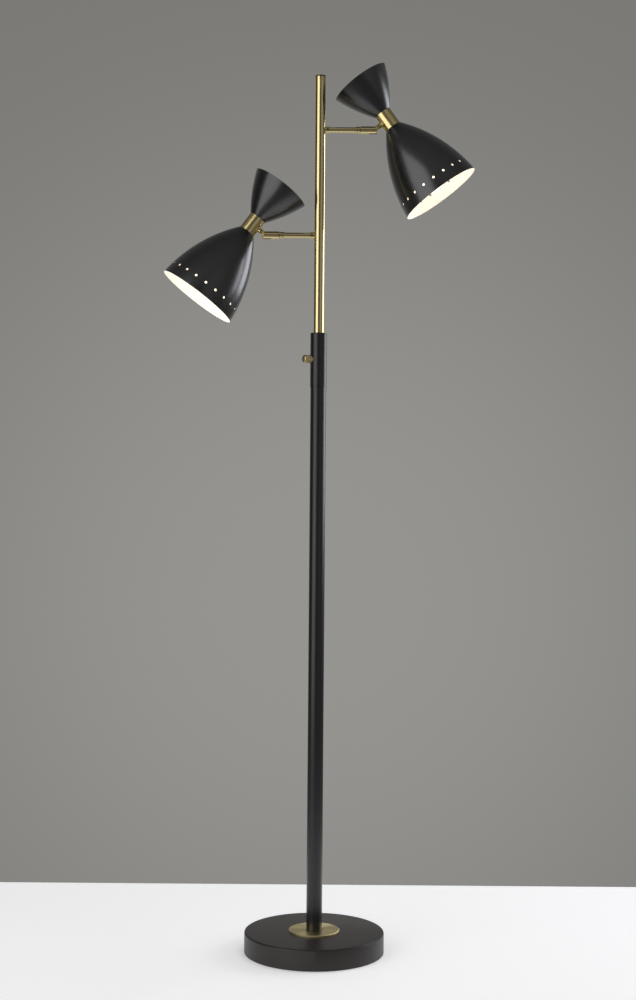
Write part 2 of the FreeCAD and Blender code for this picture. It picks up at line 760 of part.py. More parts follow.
def save_arms():
    nuts = [placed_on_arm(arm_lock_nut(), side) for side in SIDES]
    screws = [placed_on_arm(arm_set_screw(side.front), side) for side in SIDES]
    save("arm_lock_nuts", *nuts)
    save("arm_set_screws", *screws)
    for side in SIDES:
        rod = arm_rod().cut(set_screw_seat(side.front))
        save(side.name + "_arm_ferrule", placed_on_arm(arm_ferrule(side.front), side))
        save(side.name + "_arm_rod", placed_on_arm(rod, side))
        save(side.name + "_swivel_spigot", placed_on_arm(swivel_spigot(side.front), side))
        save(side.name + "_swivel_sleeve", placed_on_swivel(swivel_sleeve(side.front), side))
        save(side.name + "_pivot_screw", placed_on_swivel(pivot_screw(side.front), side))
        save(side.name + "_stop_screw", placed_on_swivel(stop_screw(side.front), side))


# -------------------------------------------------------------------- heads
# Each head is made hanging straight down, with the pivot at the origin. Its own
# axis is parallel to Z at x = stub_reach, and z = 0 is the middle of the collar.
def head_stub():
    """Tongue on the pivot screw, with a shoulder and thread into the collar."""
    half_height = tongue_height / 2
    half_width = slot_width / 2 - moving_gap
    collar_face = stub_reach - collar_radius
    shoulder_start = collar_face - stub_shoulder_length
    eye = bar(half_height, -half_width, half_width, Y_AXIS)
    plate = block(point(0, -half_width, -half_height), point(collar_face, half_width, half_height))
    shoulder = bar(stub_shoulder_diameter / 2, shoulder_start, stub_reach, X_AXIS)
    collar = bar(collar_radius, -collar_half, collar_half)
    collar.translate(point(x=stub_reach))
    outside = eye.fuse([plate, shoulder]).cut(collar)
    thread = bar(stub_thread_diameter / 2, shoulder_start, collar_face + stub_thread_length, X_AXIS)
    stub = outside.fuse(thread).removeSplitter()
    pin_hole = bar(pivot_screw_diameter / 2 + running_clearance, -half_width, half_width, Y_AXIS)
    return stub.cut(pin_hole)


def head_collar():
    ring = turned([
        (collar_bore / 2, -collar_half),
        (collar_radius - collar_chamfer, -collar_half),
        (collar_radius, collar_chamfer - collar_half),
        (collar_radius, collar_half - collar_chamfer),
        (collar_radius - collar_chamfer, collar_half),
        (collar_bore / 2, collar_half),
    ])
    thread_hole = bar(stub_thread_diameter / 2 + thread_clearance, -collar_diameter, 0, X_AXIS)
    return on_head_axis(ring.cut(thread_hole))


def on_head_axis(shape):
    shape.translate(point(x=stub_reach))
    return shape


def bell(mouth_radius, length, bulge):
    """Spun shell on Z: a flat neck plate at z = 0, its side one arc out to the mouth."""
    rise = mouth_radius - neck_radius
    chord = math.hypot(rise, length)
    arc_radius = (chord ** 2 / 4 + bulge ** 2) / (2 * bulge)
    depth = arc_radius - bulge
    centre_r = (neck_radius + mouth_radius) / 2 - depth * length / chord
    centre_z = length / 2 + depth * rise / chord
    inner_radius = arc_radius - shell_wall

    def on_arc(radius, angle):
        return point(centre_r + radius * math.cos(angle), 0, centre_z + radius * math.sin(angle))

    neck_angle = math.atan2(-centre_z, neck_radius - centre_r)
    mouth_angle = math.atan2(length - centre_z, mouth_radius - centre_r)
    middle_angle = (neck_angle + mouth_angle) / 2
    plate_angle = math.asin((shell_wall - centre_z) / inner_radius)
    hole_radius = pipe_radius + slip_clearance
    outer = Part.Arc(on_arc(arc_radius, neck_angle), on_arc(arc_radius, middle_angle),
                     on_arc(arc_radius, mouth_angle)).toShape()
    rim = Part.makeLine(on_arc(arc_radius, mouth_angle), on_arc(inner_radius, mouth_angle))
    inner = Part.Arc(on_arc(inner_radius, mouth_angle), on_arc(inner_radius, middle_angle),
                     on_arc(inner_radius, plate_angle)).toShape()
    plate_top = Part.makeLine(on_arc(inner_radius, plate_angle), point(hole_radius, 0, shell_wall))
    hole = Part.makeLine(point(hole_radius, 0, shell_wall), point(hole_radius, 0, 0))
    plate_foot = Part.makeLine(point(hole_radius, 0, 0), on_arc(arc_radius, neck_angle))
    wire = Part.Wire([outer, rim, inner, plate_top, hole, plate_foot])
    return Part.Face(wire).revolve(ORIGIN, Z_AXIS, 360)


def upper_cone():
    cone = bell(cone_mouth_radius, cone_length, cone_bulge)
    cone.translate(point(z=collar_half))
    return on_head_axis(cone)


def lower_shade(side):
    """Bell shade with its ring of round holes, turned a little on the nipple."""
    shade = bell(shade_mouth_radius, shade_length, shade_bulge)
    ring_z = shade_length - hole_ring_height
    holes = []
    for index in range(hole_count):
        hole = bar(hole_diameter / 2, neck_radius, shade_mouth_radius + hole_diameter, X_AXIS)
        hole.translate(point(z=ring_z))
        hole.rotate(ORIGIN, Z_AXIS, 360 / hole_count * index)
        holes.append(hole)
    shade = shade.cut(holes)
    shade.rotate(ORIGIN, X_AXIS, 180)
    shade.rotate(ORIGIN, Z_AXIS, -side.front * side.shade_turn)
    shade.translate(point(z=-collar_half))
    return on_head_axis(shade)


def below_collar(outline):
    """A turned piece whose heights are given downwards from the collar's lower end."""
    return on_head_axis(turned([(radius, -collar_half - depth) for radius, depth in outline]))


def lamp_socket():
    thread_end = shell_wall + nipple_thread_in_socket
    cavity_top = socket_mouth - socket_cavity_depth
    outer_radius = socket_diameter / 2
    shoulder_length = (outer_radius - socket_neck_radius) * math.tan(math.radians(socket_shoulder_angle))
    return below_collar([
        (threaded_hole_radius, shell_wall),
        (socket_neck_radius, shell_wall),
        (outer_radius, shell_wall + shoulder_length),
        (outer_radius, socket_mouth),
        (socket_cavity_radius, socket_mouth),
        (socket_cavity_radius, cavity_top),
        (0, cavity_top),
        (0, thread_end),
        (threaded_hole_radius, thread_end),
    ])


def bulb_base():
    """Metal cap of the bulb: a cup with a tapered contact end."""
    radius = bulb_base_diameter / 2
    tip = socket_mouth - socket_cavity_depth + moving_gap
    shoulder = tip + bulb_contact_rise
    mouth = socket_mouth + bulb_base_overrun
    return below_collar([
        (0, tip),
        (bulb_contact_radius, tip),
        (radius, shoulder),
        (radius, mouth),
        (radius - bulb_base_wall, mouth),
        (radius - bulb_base_wall, shoulder + bulb_base_wall),
        (bulb_contact_radius, tip + bulb_base_wall),
        (0, tip + bulb_base_wall),
    ])


def bulb_glass():
    """Pear-shaped glass: a ball blended into its neck by one hollow arc."""
    neck_depth = socket_mouth + bulb_base_overrun
    rise = bulb_glass_length - bulb_radius
    blend = (bulb_neck_radius ** 2 + rise ** 2 - bulb_radius ** 2) / (2 * (bulb_radius - bulb_neck_radius))
    ball_depth = neck_depth + rise
    blend_r = bulb_neck_radius + blend
    join_angle = math.atan2(rise, blend_r)
    tip_angle = -math.pi / 2

    def at(radius, depth):
        return point(radius, 0, -collar_half - depth)

    def on_ball(radius, angle):
        return at(radius * math.cos(angle), ball_depth - radius * math.sin(angle))

    def on_blend(radius, angle):
        return at(blend_r - radius * math.cos(angle), neck_depth + radius * math.sin(angle))

    def skin(ball_radius, blend_radius):
        side = Part.Arc(on_blend(blend_radius, 0), on_blend(blend_radius, join_angle / 2),
                        on_blend(blend_radius, join_angle)).toShape()
        ball = Part.Arc(on_ball(ball_radius, join_angle),
                        on_ball(ball_radius, (join_angle + tip_angle) / 2),
                        on_ball(ball_radius, tip_angle)).toShape()
        return side, ball

    outer_side, outer_ball = skin(bulb_radius, blend)
    inner_side, inner_ball = skin(bulb_radius - glass_wall, blend + glass_wall)
    tip = Part.makeLine(on_ball(bulb_radius, tip_angle), on_ball(bulb_radius - glass_wall, tip_angle))
    lip = Part.makeLine(on_blend(blend + glass_wall, 0), on_blend(blend, 0))
    wire = Part.Wire([outer_side, outer_ball, tip, inner_ball, inner_side, lip])
    return on_head_axis(Part.Face(wire).revolve(ORIGIN, Z_AXIS, 360))


def save_heads():
    nut_foot = collar_half + shell_wall
    nut_top = nut_foot + pipe_nut_height
    nipple_foot = -(collar_half + shell_wall + nipple_thread_in_socket)
    for side in SIDES:
        nipple = on_head_axis(pipe(pipe_radius, pipe_bore / 2, nipple_foot, nut_top + pipe_overrun))
        nut = on_head_axis(hex_nut(pipe_nut_across_flats, threaded_hole_radius, nut_foot, nut_top))
        save(side.name + "_head_stub", placed_on_head(head_stub(), side))
        save(side.name + "_head_collar", placed_on_head(head_collar(), side))
        save(side.name + "_upper_cone", placed_on_head(upper_cone(), side))
        save(side.name + "_lower_shade", placed_on_head(lower_shade(side), side))
        save(side.name + "_head_nipple", placed_on_head(nipple, side))
        save(side.name + "_head_nut", placed_on_head(nut, side))
        save(side.name + "_lamp_socket", placed_on_head(lamp_socket(), side))
        save(side.name + "_bulb_base", placed_on_head(bulb_base(), side))
        save(side.name + "_bulb_glass", placed_on_head(bulb_glass(), side))


save_base()
save_pole()
save_switch()
save_arms()
save_heads()
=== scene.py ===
import math
from collections import namedtuple

import bmesh
import bpy
from mathutils import Matrix, Vector

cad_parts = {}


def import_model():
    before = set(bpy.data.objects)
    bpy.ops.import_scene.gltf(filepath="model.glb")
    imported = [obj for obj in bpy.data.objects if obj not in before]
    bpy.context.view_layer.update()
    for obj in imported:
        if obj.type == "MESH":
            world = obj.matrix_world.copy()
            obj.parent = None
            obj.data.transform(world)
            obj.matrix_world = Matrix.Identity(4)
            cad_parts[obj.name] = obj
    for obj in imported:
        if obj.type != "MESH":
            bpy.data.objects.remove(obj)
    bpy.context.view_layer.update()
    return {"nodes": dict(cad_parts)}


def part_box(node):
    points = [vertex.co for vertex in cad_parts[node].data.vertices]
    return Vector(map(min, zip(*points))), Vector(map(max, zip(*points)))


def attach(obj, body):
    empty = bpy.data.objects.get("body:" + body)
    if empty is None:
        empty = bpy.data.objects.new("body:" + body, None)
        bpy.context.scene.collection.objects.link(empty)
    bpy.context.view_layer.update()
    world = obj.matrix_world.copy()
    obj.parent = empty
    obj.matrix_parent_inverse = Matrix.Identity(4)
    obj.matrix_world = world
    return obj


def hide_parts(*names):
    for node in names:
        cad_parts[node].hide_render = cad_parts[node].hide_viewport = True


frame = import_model()

# A floor lamp with two spotlight heads: black enamel, brass, and white enamel
# inside the lit shades. Sizes are in millimetres and degrees until a mesh is put in
# its place in the frame, which is in metres. The studio is in metres throughout.
MM = 0.001

POLE_AXIS = Matrix.Identity(4)
DOWN = Matrix.Rotation(math.pi, 4, "X")
ALONG_X = Matrix.Rotation(math.pi / 2, 4, "Y")

# base and pole
DISC_RADIUS = 46.0
DISC_BORE_RADIUS = 5.0
DISC_BOTTOM = 38.0
DISC_TOP = 41.0
DISC_BEVEL = 0.8
BLACK_TUBE_BORE_RADIUS = 12.8
BLACK_TUBE_EASING = 0.35
BRASS_TUBE_RADIUS = 9.525
BRASS_TUBE_WALL = 1.0
BRASS_TUBE_EASING = 0.2
ARM_HOLE_RADIUS = 4.0       # through the brass tube's wall, for the arm's threaded end
FERRULE_COVER = 5.8         # the part of the tube that a ferrule hides, above and below its axis
CAP_DARK_REFLECTION_START = 1592.3    # the height at which the pole's cap turns to a painted dark reflection
CAP_DARK_REFLECTION_FADE = 0.7

# switch, from the pole's axis outwards
SWITCH_HEIGHT = 1078.0
SWITCH_HEADING = 210.0
KNOB_START = 17.6
KNOB_LENGTH = 14.0
KNOB_RADIUS = 7.2
KNOB_CROWN = 2.5            # radius of its outer edge
KNOB_RECESS_RADIUS = 5.25
KNOB_RECESS_DEPTH = 1.0
KNOB_FRONT = 3.3            # metal between the spindle's end and the knob's face
SPINDLE_HOLE_RADIUS = 3.05
FLUTES = {"Grip radius": KNOB_RADIUS, "Flute count": 24, "Flute radius": 0.75, "Flute depth": 0.35}

# heads
PIVOT_REACH = 97.525        # tilt axis, from the pole's axis
STUB_REACH = 31.5           # head's axis, from the tilt axis
COLLAR_HALF = 16.5
NECK_RADIUS = 16.5
SHELL_WALL = 1.0
SHELL_HOLE_RADIUS = 5.0
SHADE = dict(mouth=75.6, length=149.5, bulge=11.9)
CONE = dict(mouth=55.5, length=69.0, bulge=2.7)
HOLE_COUNT = 21
HOLE_DIAMETER = 4.5
HOLE_RING_HEIGHT = 21.0     # above the shade's mouth
CELL_HALF_HEIGHT = 11.0     # of the flat cell round each hole
CELL_SIDE_SEGMENTS = 8
SEAM = 0.002                # points nearer than this are one point
BULB_NECK_DEPTH = 58.0
BULB_LENGTH = 83.0
BULB_RADIUS = 30.0
BULB_NECK_RADIUS = 13.0
BULB_GLOW_LENGTH = 35.0     # from the neck to where the glow is full
GLASS_WALL = 0.8
SMOOTH_ANGLE = 32           # steeper edges than this stay sharp

# room seen in reflections: degrees round from the front, to the right, and how light it is there
ROOM_LEVELS = [(-180, 0.5), (-135, 0.15), (-92, 0.03), (-20, 0.13), (0, 0.1), (16, 0.08),
               (24, 0.36), (44, 0.33), (54, 0.25), (78, 0.14), (140, 0.12), (180, 0.5)]
BOARD_WHITE = "#F0F0F0"

Side = namedtuple("Side", "name heading height front tilt swivel shade_turn")
SIDES = [
    Side("left", 180, 1304.0, 1, 36.4, 5.0, 4.4),
    Side("right", 0, 1496.5, -1, 35.8, 3.0, 6.3),
]


def turn(degrees, axis):
    return Matrix.Rotation(math.radians(degrees), 4, axis)


def shift(x=0.0, y=0.0, z=0.0):
    return Matrix.Translation((x, y, z))


def arm_place(side):
    """From the arm's own frame, along +X from the pole's axis, to the lamp."""
    return shift(z=side.height) @ turn(side.heading, "Z")


def swivel_place(side):
    return arm_place(side) @ turn(side.front * side.swivel, "X")


def head_place(side):
    """From the head's own frame, hanging straight down from its collar, to the lamp."""
    pivot = swivel_place(side) @ shift(x=PIVOT_REACH) @ turn(-side.tilt, "Y")
    return pivot @ shift(x=STUB_REACH)


def shade_place(side):
    return head_place(side) @ shift(z=-COLLAR_HALF) @ turn(-side.front * side.shade_turn, "Z") @ DOWN


# --------------------------------------------------------------------- nodes
def add(tree, kind, inputs=None, **settings):
    """Add a node with its settings; an input takes a value, a node, a socket or a list of them."""
    made = tree.nodes.new(kind)
    for name, value in settings.items():
        setattr(made, name, value)
    for key, value in (inputs or {}).items():
        for source in value if isinstance(value, list) else [value]:
            if isinstance(source, bpy.types.Node):
                source = source.outputs[0]
            if isinstance(source, bpy.types.NodeSocket):
                tree.links.new(source, made.inputs[key])
            else:
                made.inputs[key].default_value = source
    return made


def linear(hex_colour):
    """An sRGB hex colour as the linear colour that a shader takes."""
    channels = [int(hex_colour[i:i + 2], 16) / 255 for i in (1, 3, 5)]
    return tuple(c / 12.92 if c <= 0.04045 else ((c + 0.055) / 1.055) ** 2.4 for c in channels) + (1.0,)


def finish(name, hex_colour, **constants):
    """A material whose shader holds one colour and the constants given by socket name."""
    material = bpy.data.materials.new(name)
    material.use_nodes = True
    tree = material.node_tree
    shader = tree.nodes["Principled BSDF"]
    shader.inputs["Base Color"].default_value = linear(hex_colour)
    for key, value in constants.items():
        shader.inputs[key.replace("_", " ")].default_value = value
    return material, tree, shader


def own_place(tree):
    """Where a point lies on its own piece, in millimetres, with Z along the piece's axis."""
    return add(tree, "ShaderNodeAttribute", attribute_name="own_mm")


def relief(tree, shader, height, depth_mm, strength):
    bump = add(tree, "ShaderNodeBump", {"Height": height, "Strength": strength,
                                        "Distance": depth_mm * MM})
    tree.links.new(bump.outputs[0], shader.inputs["Normal"])


def vary(tree, shader, socket, pattern, down, up):
    """Let a pattern move a socket from its constant, down and up by as much as given."""
    constant = shader.inputs[socket].default_value
    spread = add(tree, "ShaderNodeMapRange", {"Value": pattern, "To Min": constant - down,
                                              "To Max": constant + up})
    tree.links.new(spread.outputs[0], shader.inputs[socket])


def blend_colour(tree, shader, socket, share, low, high):
    """Let a share from 0 to 1 take a colour socket from one colour to another."""
    tone = add(tree, "ShaderNodeMix", {0: share, 6: low, 7: high}, data_type="RGBA")
    tree.links.new(tone.outputs[2], shader.inputs[socket])


def distance_from_axis(tree):
    """How far a point lies from its piece's axis, in millimetres, and its height along it."""
    place = add(tree, "ShaderNodeSeparateXYZ", {0: own_place(tree).outputs["Vector"]})
    flat = add(tree, "ShaderNodeCombineXYZ", {0: place.outputs[0], 1: place.outputs[1]})
    radius = add(tree, "ShaderNodeVectorMath", {0: flat}, operation="LENGTH")
    return radius.outputs["Value"], place.outputs[2]


# ----------------------------------------------------------------- materials
def drawn_brass():
    """Polished drawn brass under clear lacquer: near-mirror bands, a little duller in long patches."""
    material, tree, shader = finish("drawn_polished_brass", "#DCC994", Metallic=1.0, Roughness=0.13,
                                    Coat_Weight=0.4, Coat_Roughness=0.08)
    along = add(tree, "ShaderNodeMapping", {"Vector": own_place(tree).outputs["Vector"],
                                            "Scale": (0.3, 0.3, 0.01)})
    haze = add(tree, "ShaderNodeTexNoise", {"Vector": along, "Scale": 1.0, "Detail": 2.0})
    vary(tree, shader, "Roughness", haze, 0.03, 0.04)
    return material


def spun_brass():
    """Brass turned on a lathe and lacquered: fine rings that soften its streaks, and painted shade that
    darkens its corners and contact edges.
    """
    material, tree, shader = finish("lathe_turned_brass", "#DAC68E", Metallic=1.0, Roughness=0.19,
                                    Coat_Weight=0.5, Coat_Roughness=0.1)
    radius, height = distance_from_axis(tree)
    across = add(tree, "ShaderNodeCombineXYZ", {0: radius, 2: height})
    rings = add(tree, "ShaderNodeTexNoise", {"Vector": across, "Scale": 1.8, "Detail": 2.0})
    vary(tree, shader, "Roughness", rings, 0.05, 0.07)
    # painted shade: ambient occlusion turns the brass colour dark brown in corners, grooves and where parts
    # meet
    corner_shade = add(tree, "ShaderNodeAmbientOcclusion", {"Distance": 2.0 * MM}, samples=8)
    unshaded_share = add(tree, "ShaderNodeMapRange", {"Value": corner_shade.outputs["AO"], "From Min": 0.4,
                                                  "From Max": 0.85})
    blend_colour(tree, shader, "Base Color", unshaded_share, linear("#2E210F"), linear("#DAC68E"))
    return material


def cap_brass_painted_reflection():
    """The pole's cap: lacquered brass whose upper edge carries a painted dark reflection, nearly black."""
    material, tree, shader = finish("brass_painted_dark_reflection", "#DAC68E", Metallic=1.0, Roughness=0.2)
    # painted reflection: above this height the colour darkens to near-black, standing in for the dark
    # ceiling mirrored in the cap's edge
    edge = add(tree, "ShaderNodeMapRange", {"Value": distance_from_axis(tree)[1],
                                            "From Min": CAP_DARK_REFLECTION_START,
                                            "From Max": CAP_DARK_REFLECTION_START + CAP_DARK_REFLECTION_FADE})
    blend_colour(tree, shader, "Base Color", edge, linear("#DAC68E"), linear("#2B2013"))
    vary(tree, shader, "Roughness", edge, 0.02, 0.25)
    return material


def brushed_disc_brass():
    """Sheet brass brushed while it spins: fine rings that stretch reflections across them."""
    material, tree, shader = finish("ring_brushed_brass", "#EFDDA6", Metallic=1.0, Roughness=0.36,
                                    Anisotropic=0.85)
    tangent = add(tree, "ShaderNodeTangent", direction_type="RADIAL", axis="Z")
    tree.links.new(tangent.outputs[0], shader.inputs["Tangent"])
    across = add(tree, "ShaderNodeCombineXYZ", {0: distance_from_axis(tree)[0]})
    rings = add(tree, "ShaderNodeTexNoise", {"Vector": across, "Scale": 1.4, "Detail": 3.0})
    vary(tree, shader, "Roughness", rings, 0.06, 0.06)
    return material


def black_enamel(name, colour, roughness, lacquer=0.0):
    """Sprayed enamel on steel: broad highlights with a very fine orange peel, glossier where lacquered."""
    material, tree, shader = finish(name, colour, Roughness=roughness, IOR=1.5, Coat_Weight=lacquer,
                                    Coat_Roughness=0.22)
    place = own_place(tree).outputs["Vector"]
    peel = add(tree, "ShaderNodeTexNoise", {"Vector": place, "Scale": 0.9, "Detail": 2.0})
    speck = add(tree, "ShaderNodeTexNoise", {"Vector": place, "Scale": 0.12, "Detail": 3.0})
    vary(tree, shader, "Roughness", speck, 0.04, 0.05)
    relief(tree, shader, peel, 0.02, 0.06)
    return material


def painted_glow_enamel():
    """Glossy white stove enamel inside the shade, with a painted warm glow standing in for the bulb's
    light.
    """
    # painted light: a weak warm emission makes the enamel glow, standing in for the bulb's light falling on
    # it
    material, tree, shader = finish("white_enamel_painted_glow", "#F4F0E6", Roughness=0.38, IOR=1.5,
                                    Emission_Strength=0.34)
    shader.inputs["Emission Color"].default_value = linear("#FFEFE3")
    peel = add(tree, "ShaderNodeTexNoise", {"Vector": own_place(tree).outputs["Vector"], "Scale": 0.8})
    relief(tree, shader, peel, 0.02, 0.2)
    return material


def lit_glass():
    """Frosted bulb glass with the lamp on: an even warm glow, a little dimmer at the neck."""
    material, tree, shader = finish("frosted_bulb_glass", "#FFF4E0", Roughness=0.5, IOR=1.5,
                                    Emission_Strength=1.0)
    glow = add(tree, "ShaderNodeMapRange", {"Value": distance_from_axis(tree)[1],
                                            "From Min": BULB_NECK_DEPTH,
                                            "From Max": BULB_NECK_DEPTH + BULB_GLOW_LENGTH,
                                            "To Min": 0.35, "To Max": 1.0},
               interpolation_type="SMOOTHSTEP")
    blend_colour(tree, shader, "Emission Color", glow, linear("#8A5A2C"), linear("#FFEEE2"))
    return material


def zinc_steel():
    """Zinc-plated hardware: pale grey metal with a soft uneven bloom."""
    material, tree, shader = finish("zinc_plated_steel", "#B9BAB6", Metallic=1.0, Roughness=0.35)
    place = add(tree, "ShaderNodeTexCoord").outputs["Object"]
    bloom = add(tree, "ShaderNodeTexNoise", {"Vector": place, "Scale": 400.0, "Detail": 3.0})
    vary(tree, shader, "Roughness", bloom, 0.08, 0.1)
    return material


def dark_steel():
    """Browned screw steel: dark, with a dull oily gleam."""
    material, tree, shader = finish("browned_screw_steel", "#3A2E20", Metallic=1.0, Roughness=0.38)
    place = add(tree, "ShaderNodeTexCoord").outputs["Object"]
    patches = add(tree, "ShaderNodeTexNoise", {"Vector": place, "Scale": 900.0, "Detail": 2.0})
    vary(tree, shader, "Roughness", patches, 0.08, 0.12)
    return material


def phenolic():
    """Moulded black phenolic: dark, slightly glossy, with a faint mould texture."""
    material, tree, shader = finish("moulded_black_phenolic", "#1B1A19", Roughness=0.42, IOR=1.55)
    place = add(tree, "ShaderNodeTexCoord").outputs["Object"]
    grain = add(tree, "ShaderNodeTexNoise", {"Vector": place, "Scale": 1500.0, "Detail": 2.0})
    relief(tree, shader, grain, 0.02, 0.3)
    return material


def bulb_cap_alloy():
    """Bright drawn aluminium of the bulb's cap."""
    material, tree, shader = finish("bright_bulb_cap", "#CFCFCD", Metallic=1.0, Roughness=0.28)
    place = add(tree, "ShaderNodeTexCoord").outputs["Object"]
    dull = add(tree, "ShaderNodeTexNoise", {"Vector": place, "Scale": 600.0})
    vary(tree, shader, "Roughness", dull, 0.06, 0.08)
    return material


def felt():
    """Pressed black wool felt: no shine, a fine fuzzy tooth."""
    material, tree, shader = finish("pressed_wool_felt", "#232322", Roughness=0.95,
                                    Sheen_Weight=0.4)
    place = add(tree, "ShaderNodeTexCoord").outputs["Object"]
    fuzz = add(tree, "ShaderNodeTexNoise", {"Vector": place, "Scale": 900.0, "Detail": 4.0})
    relief(tree, shader, fuzz, 0.3, 0.8)
    return material


def cast_iron():
    """Sand-cast iron of the hidden weight: dark grey and grainy."""
    material, tree, shader = finish("sand_cast_iron", "#3C3B3A", Roughness=0.75, Metallic=0.6)
    place = add(tree, "ShaderNodeTexCoord").outputs["Object"]
    sand = add(tree, "ShaderNodeTexNoise", {"Vector": place, "Scale": 500.0, "Detail": 5.0})
    relief(tree, shader, sand, 0.4, 0.7)
    return material


BRASS_DRAWN = drawn_brass()
BRASS_SPUN = spun_brass()
BRASS_DISC = brushed_disc_brass()
BRASS_CAP = cap_brass_painted_reflection()
BLACK_POLE = black_enamel("satin_black_enamel", "#131315", 0.32, lacquer=0.2)
BLACK_BASE = black_enamel("matt_black_enamel", "#231D1B", 0.42)
BLACK_SHELL = black_enamel("glossy_black_enamel", "#0C0C0D", 0.29, lacquer=0.95)
WHITE_INSIDE_GLOW = painted_glow_enamel()
BULB_GLASS = lit_glass()
ZINC = zinc_steel()
DARK_STEEL = dark_steel()
PHENOLIC = phenolic()
BULB_CAP = bulb_cap_alloy()
FELT = felt()
CAST_IRON = cast_iron()


# ------------------------------------------------------------------- meshes
def settle(name, mesh, place, body, nodes, materials):
    """Keep a piece's own coordinates, put its mesh in place and make it ride on its body."""
    own = mesh.attributes.new("own_mm", "FLOAT_VECTOR", "POINT")
    own.data.foreach_set("vector", [c for v in mesh.vertices for c in v.co])
    mesh.transform(Matrix.Scale(MM, 4) @ place)
    if materials:
        mesh.materials.clear()
        for material in materials:
            mesh.materials.append(material)
    mesh.shade_smooth()
    mesh.set_sharp_from_angle(angle=math.radians(SMOOTH_ANGLE))
    piece = bpy.data.objects.new(name, mesh)
    bpy.context.scene.collection.objects.link(piece)
    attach(piece, body)
    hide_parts(*nodes)
    return piece


def eased(corner_shade, steps=5):
    """Round an outline's corners: each is (radius, height) or (radius, height, easing)."""
    points = []
    count = len(corner_shade)
    for index, corner in enumerate(corner_shade):
        here = Vector(corner[:2])
        ease = corner[2] if len(corner) > 2 else 0
        if not ease:
            points.append(tuple(here))
            continue
        back = (Vector(corner_shade[index - 1][:2]) - here).normalized()
        ahead = (Vector(corner_shade[(index + 1) % count][:2]) - here).normalized()
        half = back.angle(ahead) / 2
        centre = here + (back + ahead).normalized() * (ease / math.sin(half))
        start = here + back * (ease / math.tan(half)) - centre
        end = here + ahead * (ease / math.tan(half)) - centre
        for step in range(steps + 1):
            along = start.lerp(end, step / steps).normalized() * ease
            points.append(tuple(centre + along))
    return points


def turned(outline, segments=96):
    """A mesh turned about Z from a closed outline of (radius, height) points."""
    shape = bmesh.new()
    rings = []
    for radius, height in outline:
        ring = []
        for index in range(segments):
            angle = math.tau * index / segments
            ring.append(shape.verts.new((radius * math.cos(angle), radius * math.sin(angle), height)))
        rings.append(ring)
    for ring, following in zip(rings, rings[1:] + rings[:1]):
        for index in range(segments):
            after = (index + 1) % segments
            shape.faces.new((ring[index], ring[after], following[after], following[index]))
    bmesh.ops.remove_doubles(shape, verts=shape.verts, dist=1e-4)
    bmesh.ops.dissolve_degenerate(shape, edges=shape.edges, dist=1e-5)
    bmesh.ops.recalc_face_normals(shape, faces=shape.faces)
    mesh = bpy.data.meshes.new("turned")
    shape.to_mesh(mesh)
    shape.free()
    return mesh


def refined(node, place):
    """A merged copy of a CAD node in its own coordinates, for smooth shading."""
    mesh = frame["nodes"][node].data.copy()
    shape = bmesh.new()
    shape.from_mesh(mesh)
    bmesh.ops.remove_doubles(shape, verts=shape.verts, dist=1e-6)
    bmesh.ops.transform(shape, matrix=(Matrix.Scale(MM, 4) @ place).inverted(), verts=shape.verts)
    shape.to_mesh(mesh)
    shape.free()
    for layer in list(mesh.attributes):
        if layer.name.startswith("custom_normal"):
            mesh.attributes.remove(layer)
    return mesh


def grown(base, tree, sizes):
    """Run a node tree on a mesh with its sizes given by name, and keep a plain mesh."""
    carrier = bpy.data.objects.new("carrier", base)
    bpy.context.scene.collection.objects.link(carrier)
    modifier = carrier.modifiers.new("grow", "NODES")
    modifier.node_group = tree
    for item in tree.interface.items_tree:
        if item.in_out == "INPUT" and item.name in sizes:
            modifier[item.identifier] = sizes[item.name]
    evaluated = carrier.evaluated_get(bpy.context.evaluated_depsgraph_get())
    mesh = bpy.data.meshes.new_from_object(evaluated)
    carrier.modifiers.clear()
    bpy.data.objects.remove(carrier)
    return mesh


def sized_tree(name, sizes):
    """A geometry tree with a geometry input, named number inputs and one geometry output."""
    tree = bpy.data.node_groups.new(name, "GeometryNodeTree")
    tree.interface.new_socket("Geometry", in_out="INPUT", socket_type="NodeSocketGeometry")
    for size, value in sizes.items():
        kind = "NodeSocketInt" if isinstance(value, int) else "NodeSocketFloat"
        tree.interface.new_socket(size, in_out="INPUT", socket_type=kind)
    tree.interface.new_socket("Geometry", in_out="OUTPUT", socket_type="NodeSocketGeometry")
    return tree, add(tree, "NodeGroupInput").outputs


# ------------------------------------------------------------- spun shells
def arc_side(mouth, length, bulge):
    """The arc of a spun shell's side: its centre, radius, and angles at neck and mouth."""
    rise = mouth - NECK_RADIUS
    chord = math.hypot(rise, length)
    radius = (chord ** 2 / 4 + bulge ** 2) / (2 * bulge)
    depth = radius - bulge
    out = (NECK_RADIUS + mouth) / 2 - depth * length / chord
    along = length / 2 + depth * rise / chord
    neck = math.atan2(-along, NECK_RADIUS - out)
    end = math.atan2(length - along, mouth - out)
    return out, along, radius, neck, end


def cone_outline(rows=28):
    """Thin-walled cone: arc outside, arc inside, and a flat neck plate with its hole."""
    out, along, radius, neck, end = arc_side(**CONE)
    inner = radius - SHELL_WALL
    plate = math.asin((SHELL_WALL - along) / inner)
    points = [(SHELL_HOLE_RADIUS, SHELL_WALL), (SHELL_HOLE_RADIUS, 0.0)]
    for row in range(rows + 1):
        angle = neck + (end - neck) * row / rows
        points.append((out + radius * math.cos(angle), along + radius * math.sin(angle)))
    for row in range(rows + 1):
        angle = end + (plate - end) * row / rows
        points.append((out + inner * math.cos(angle), along + inner * math.sin(angle)))
    return points


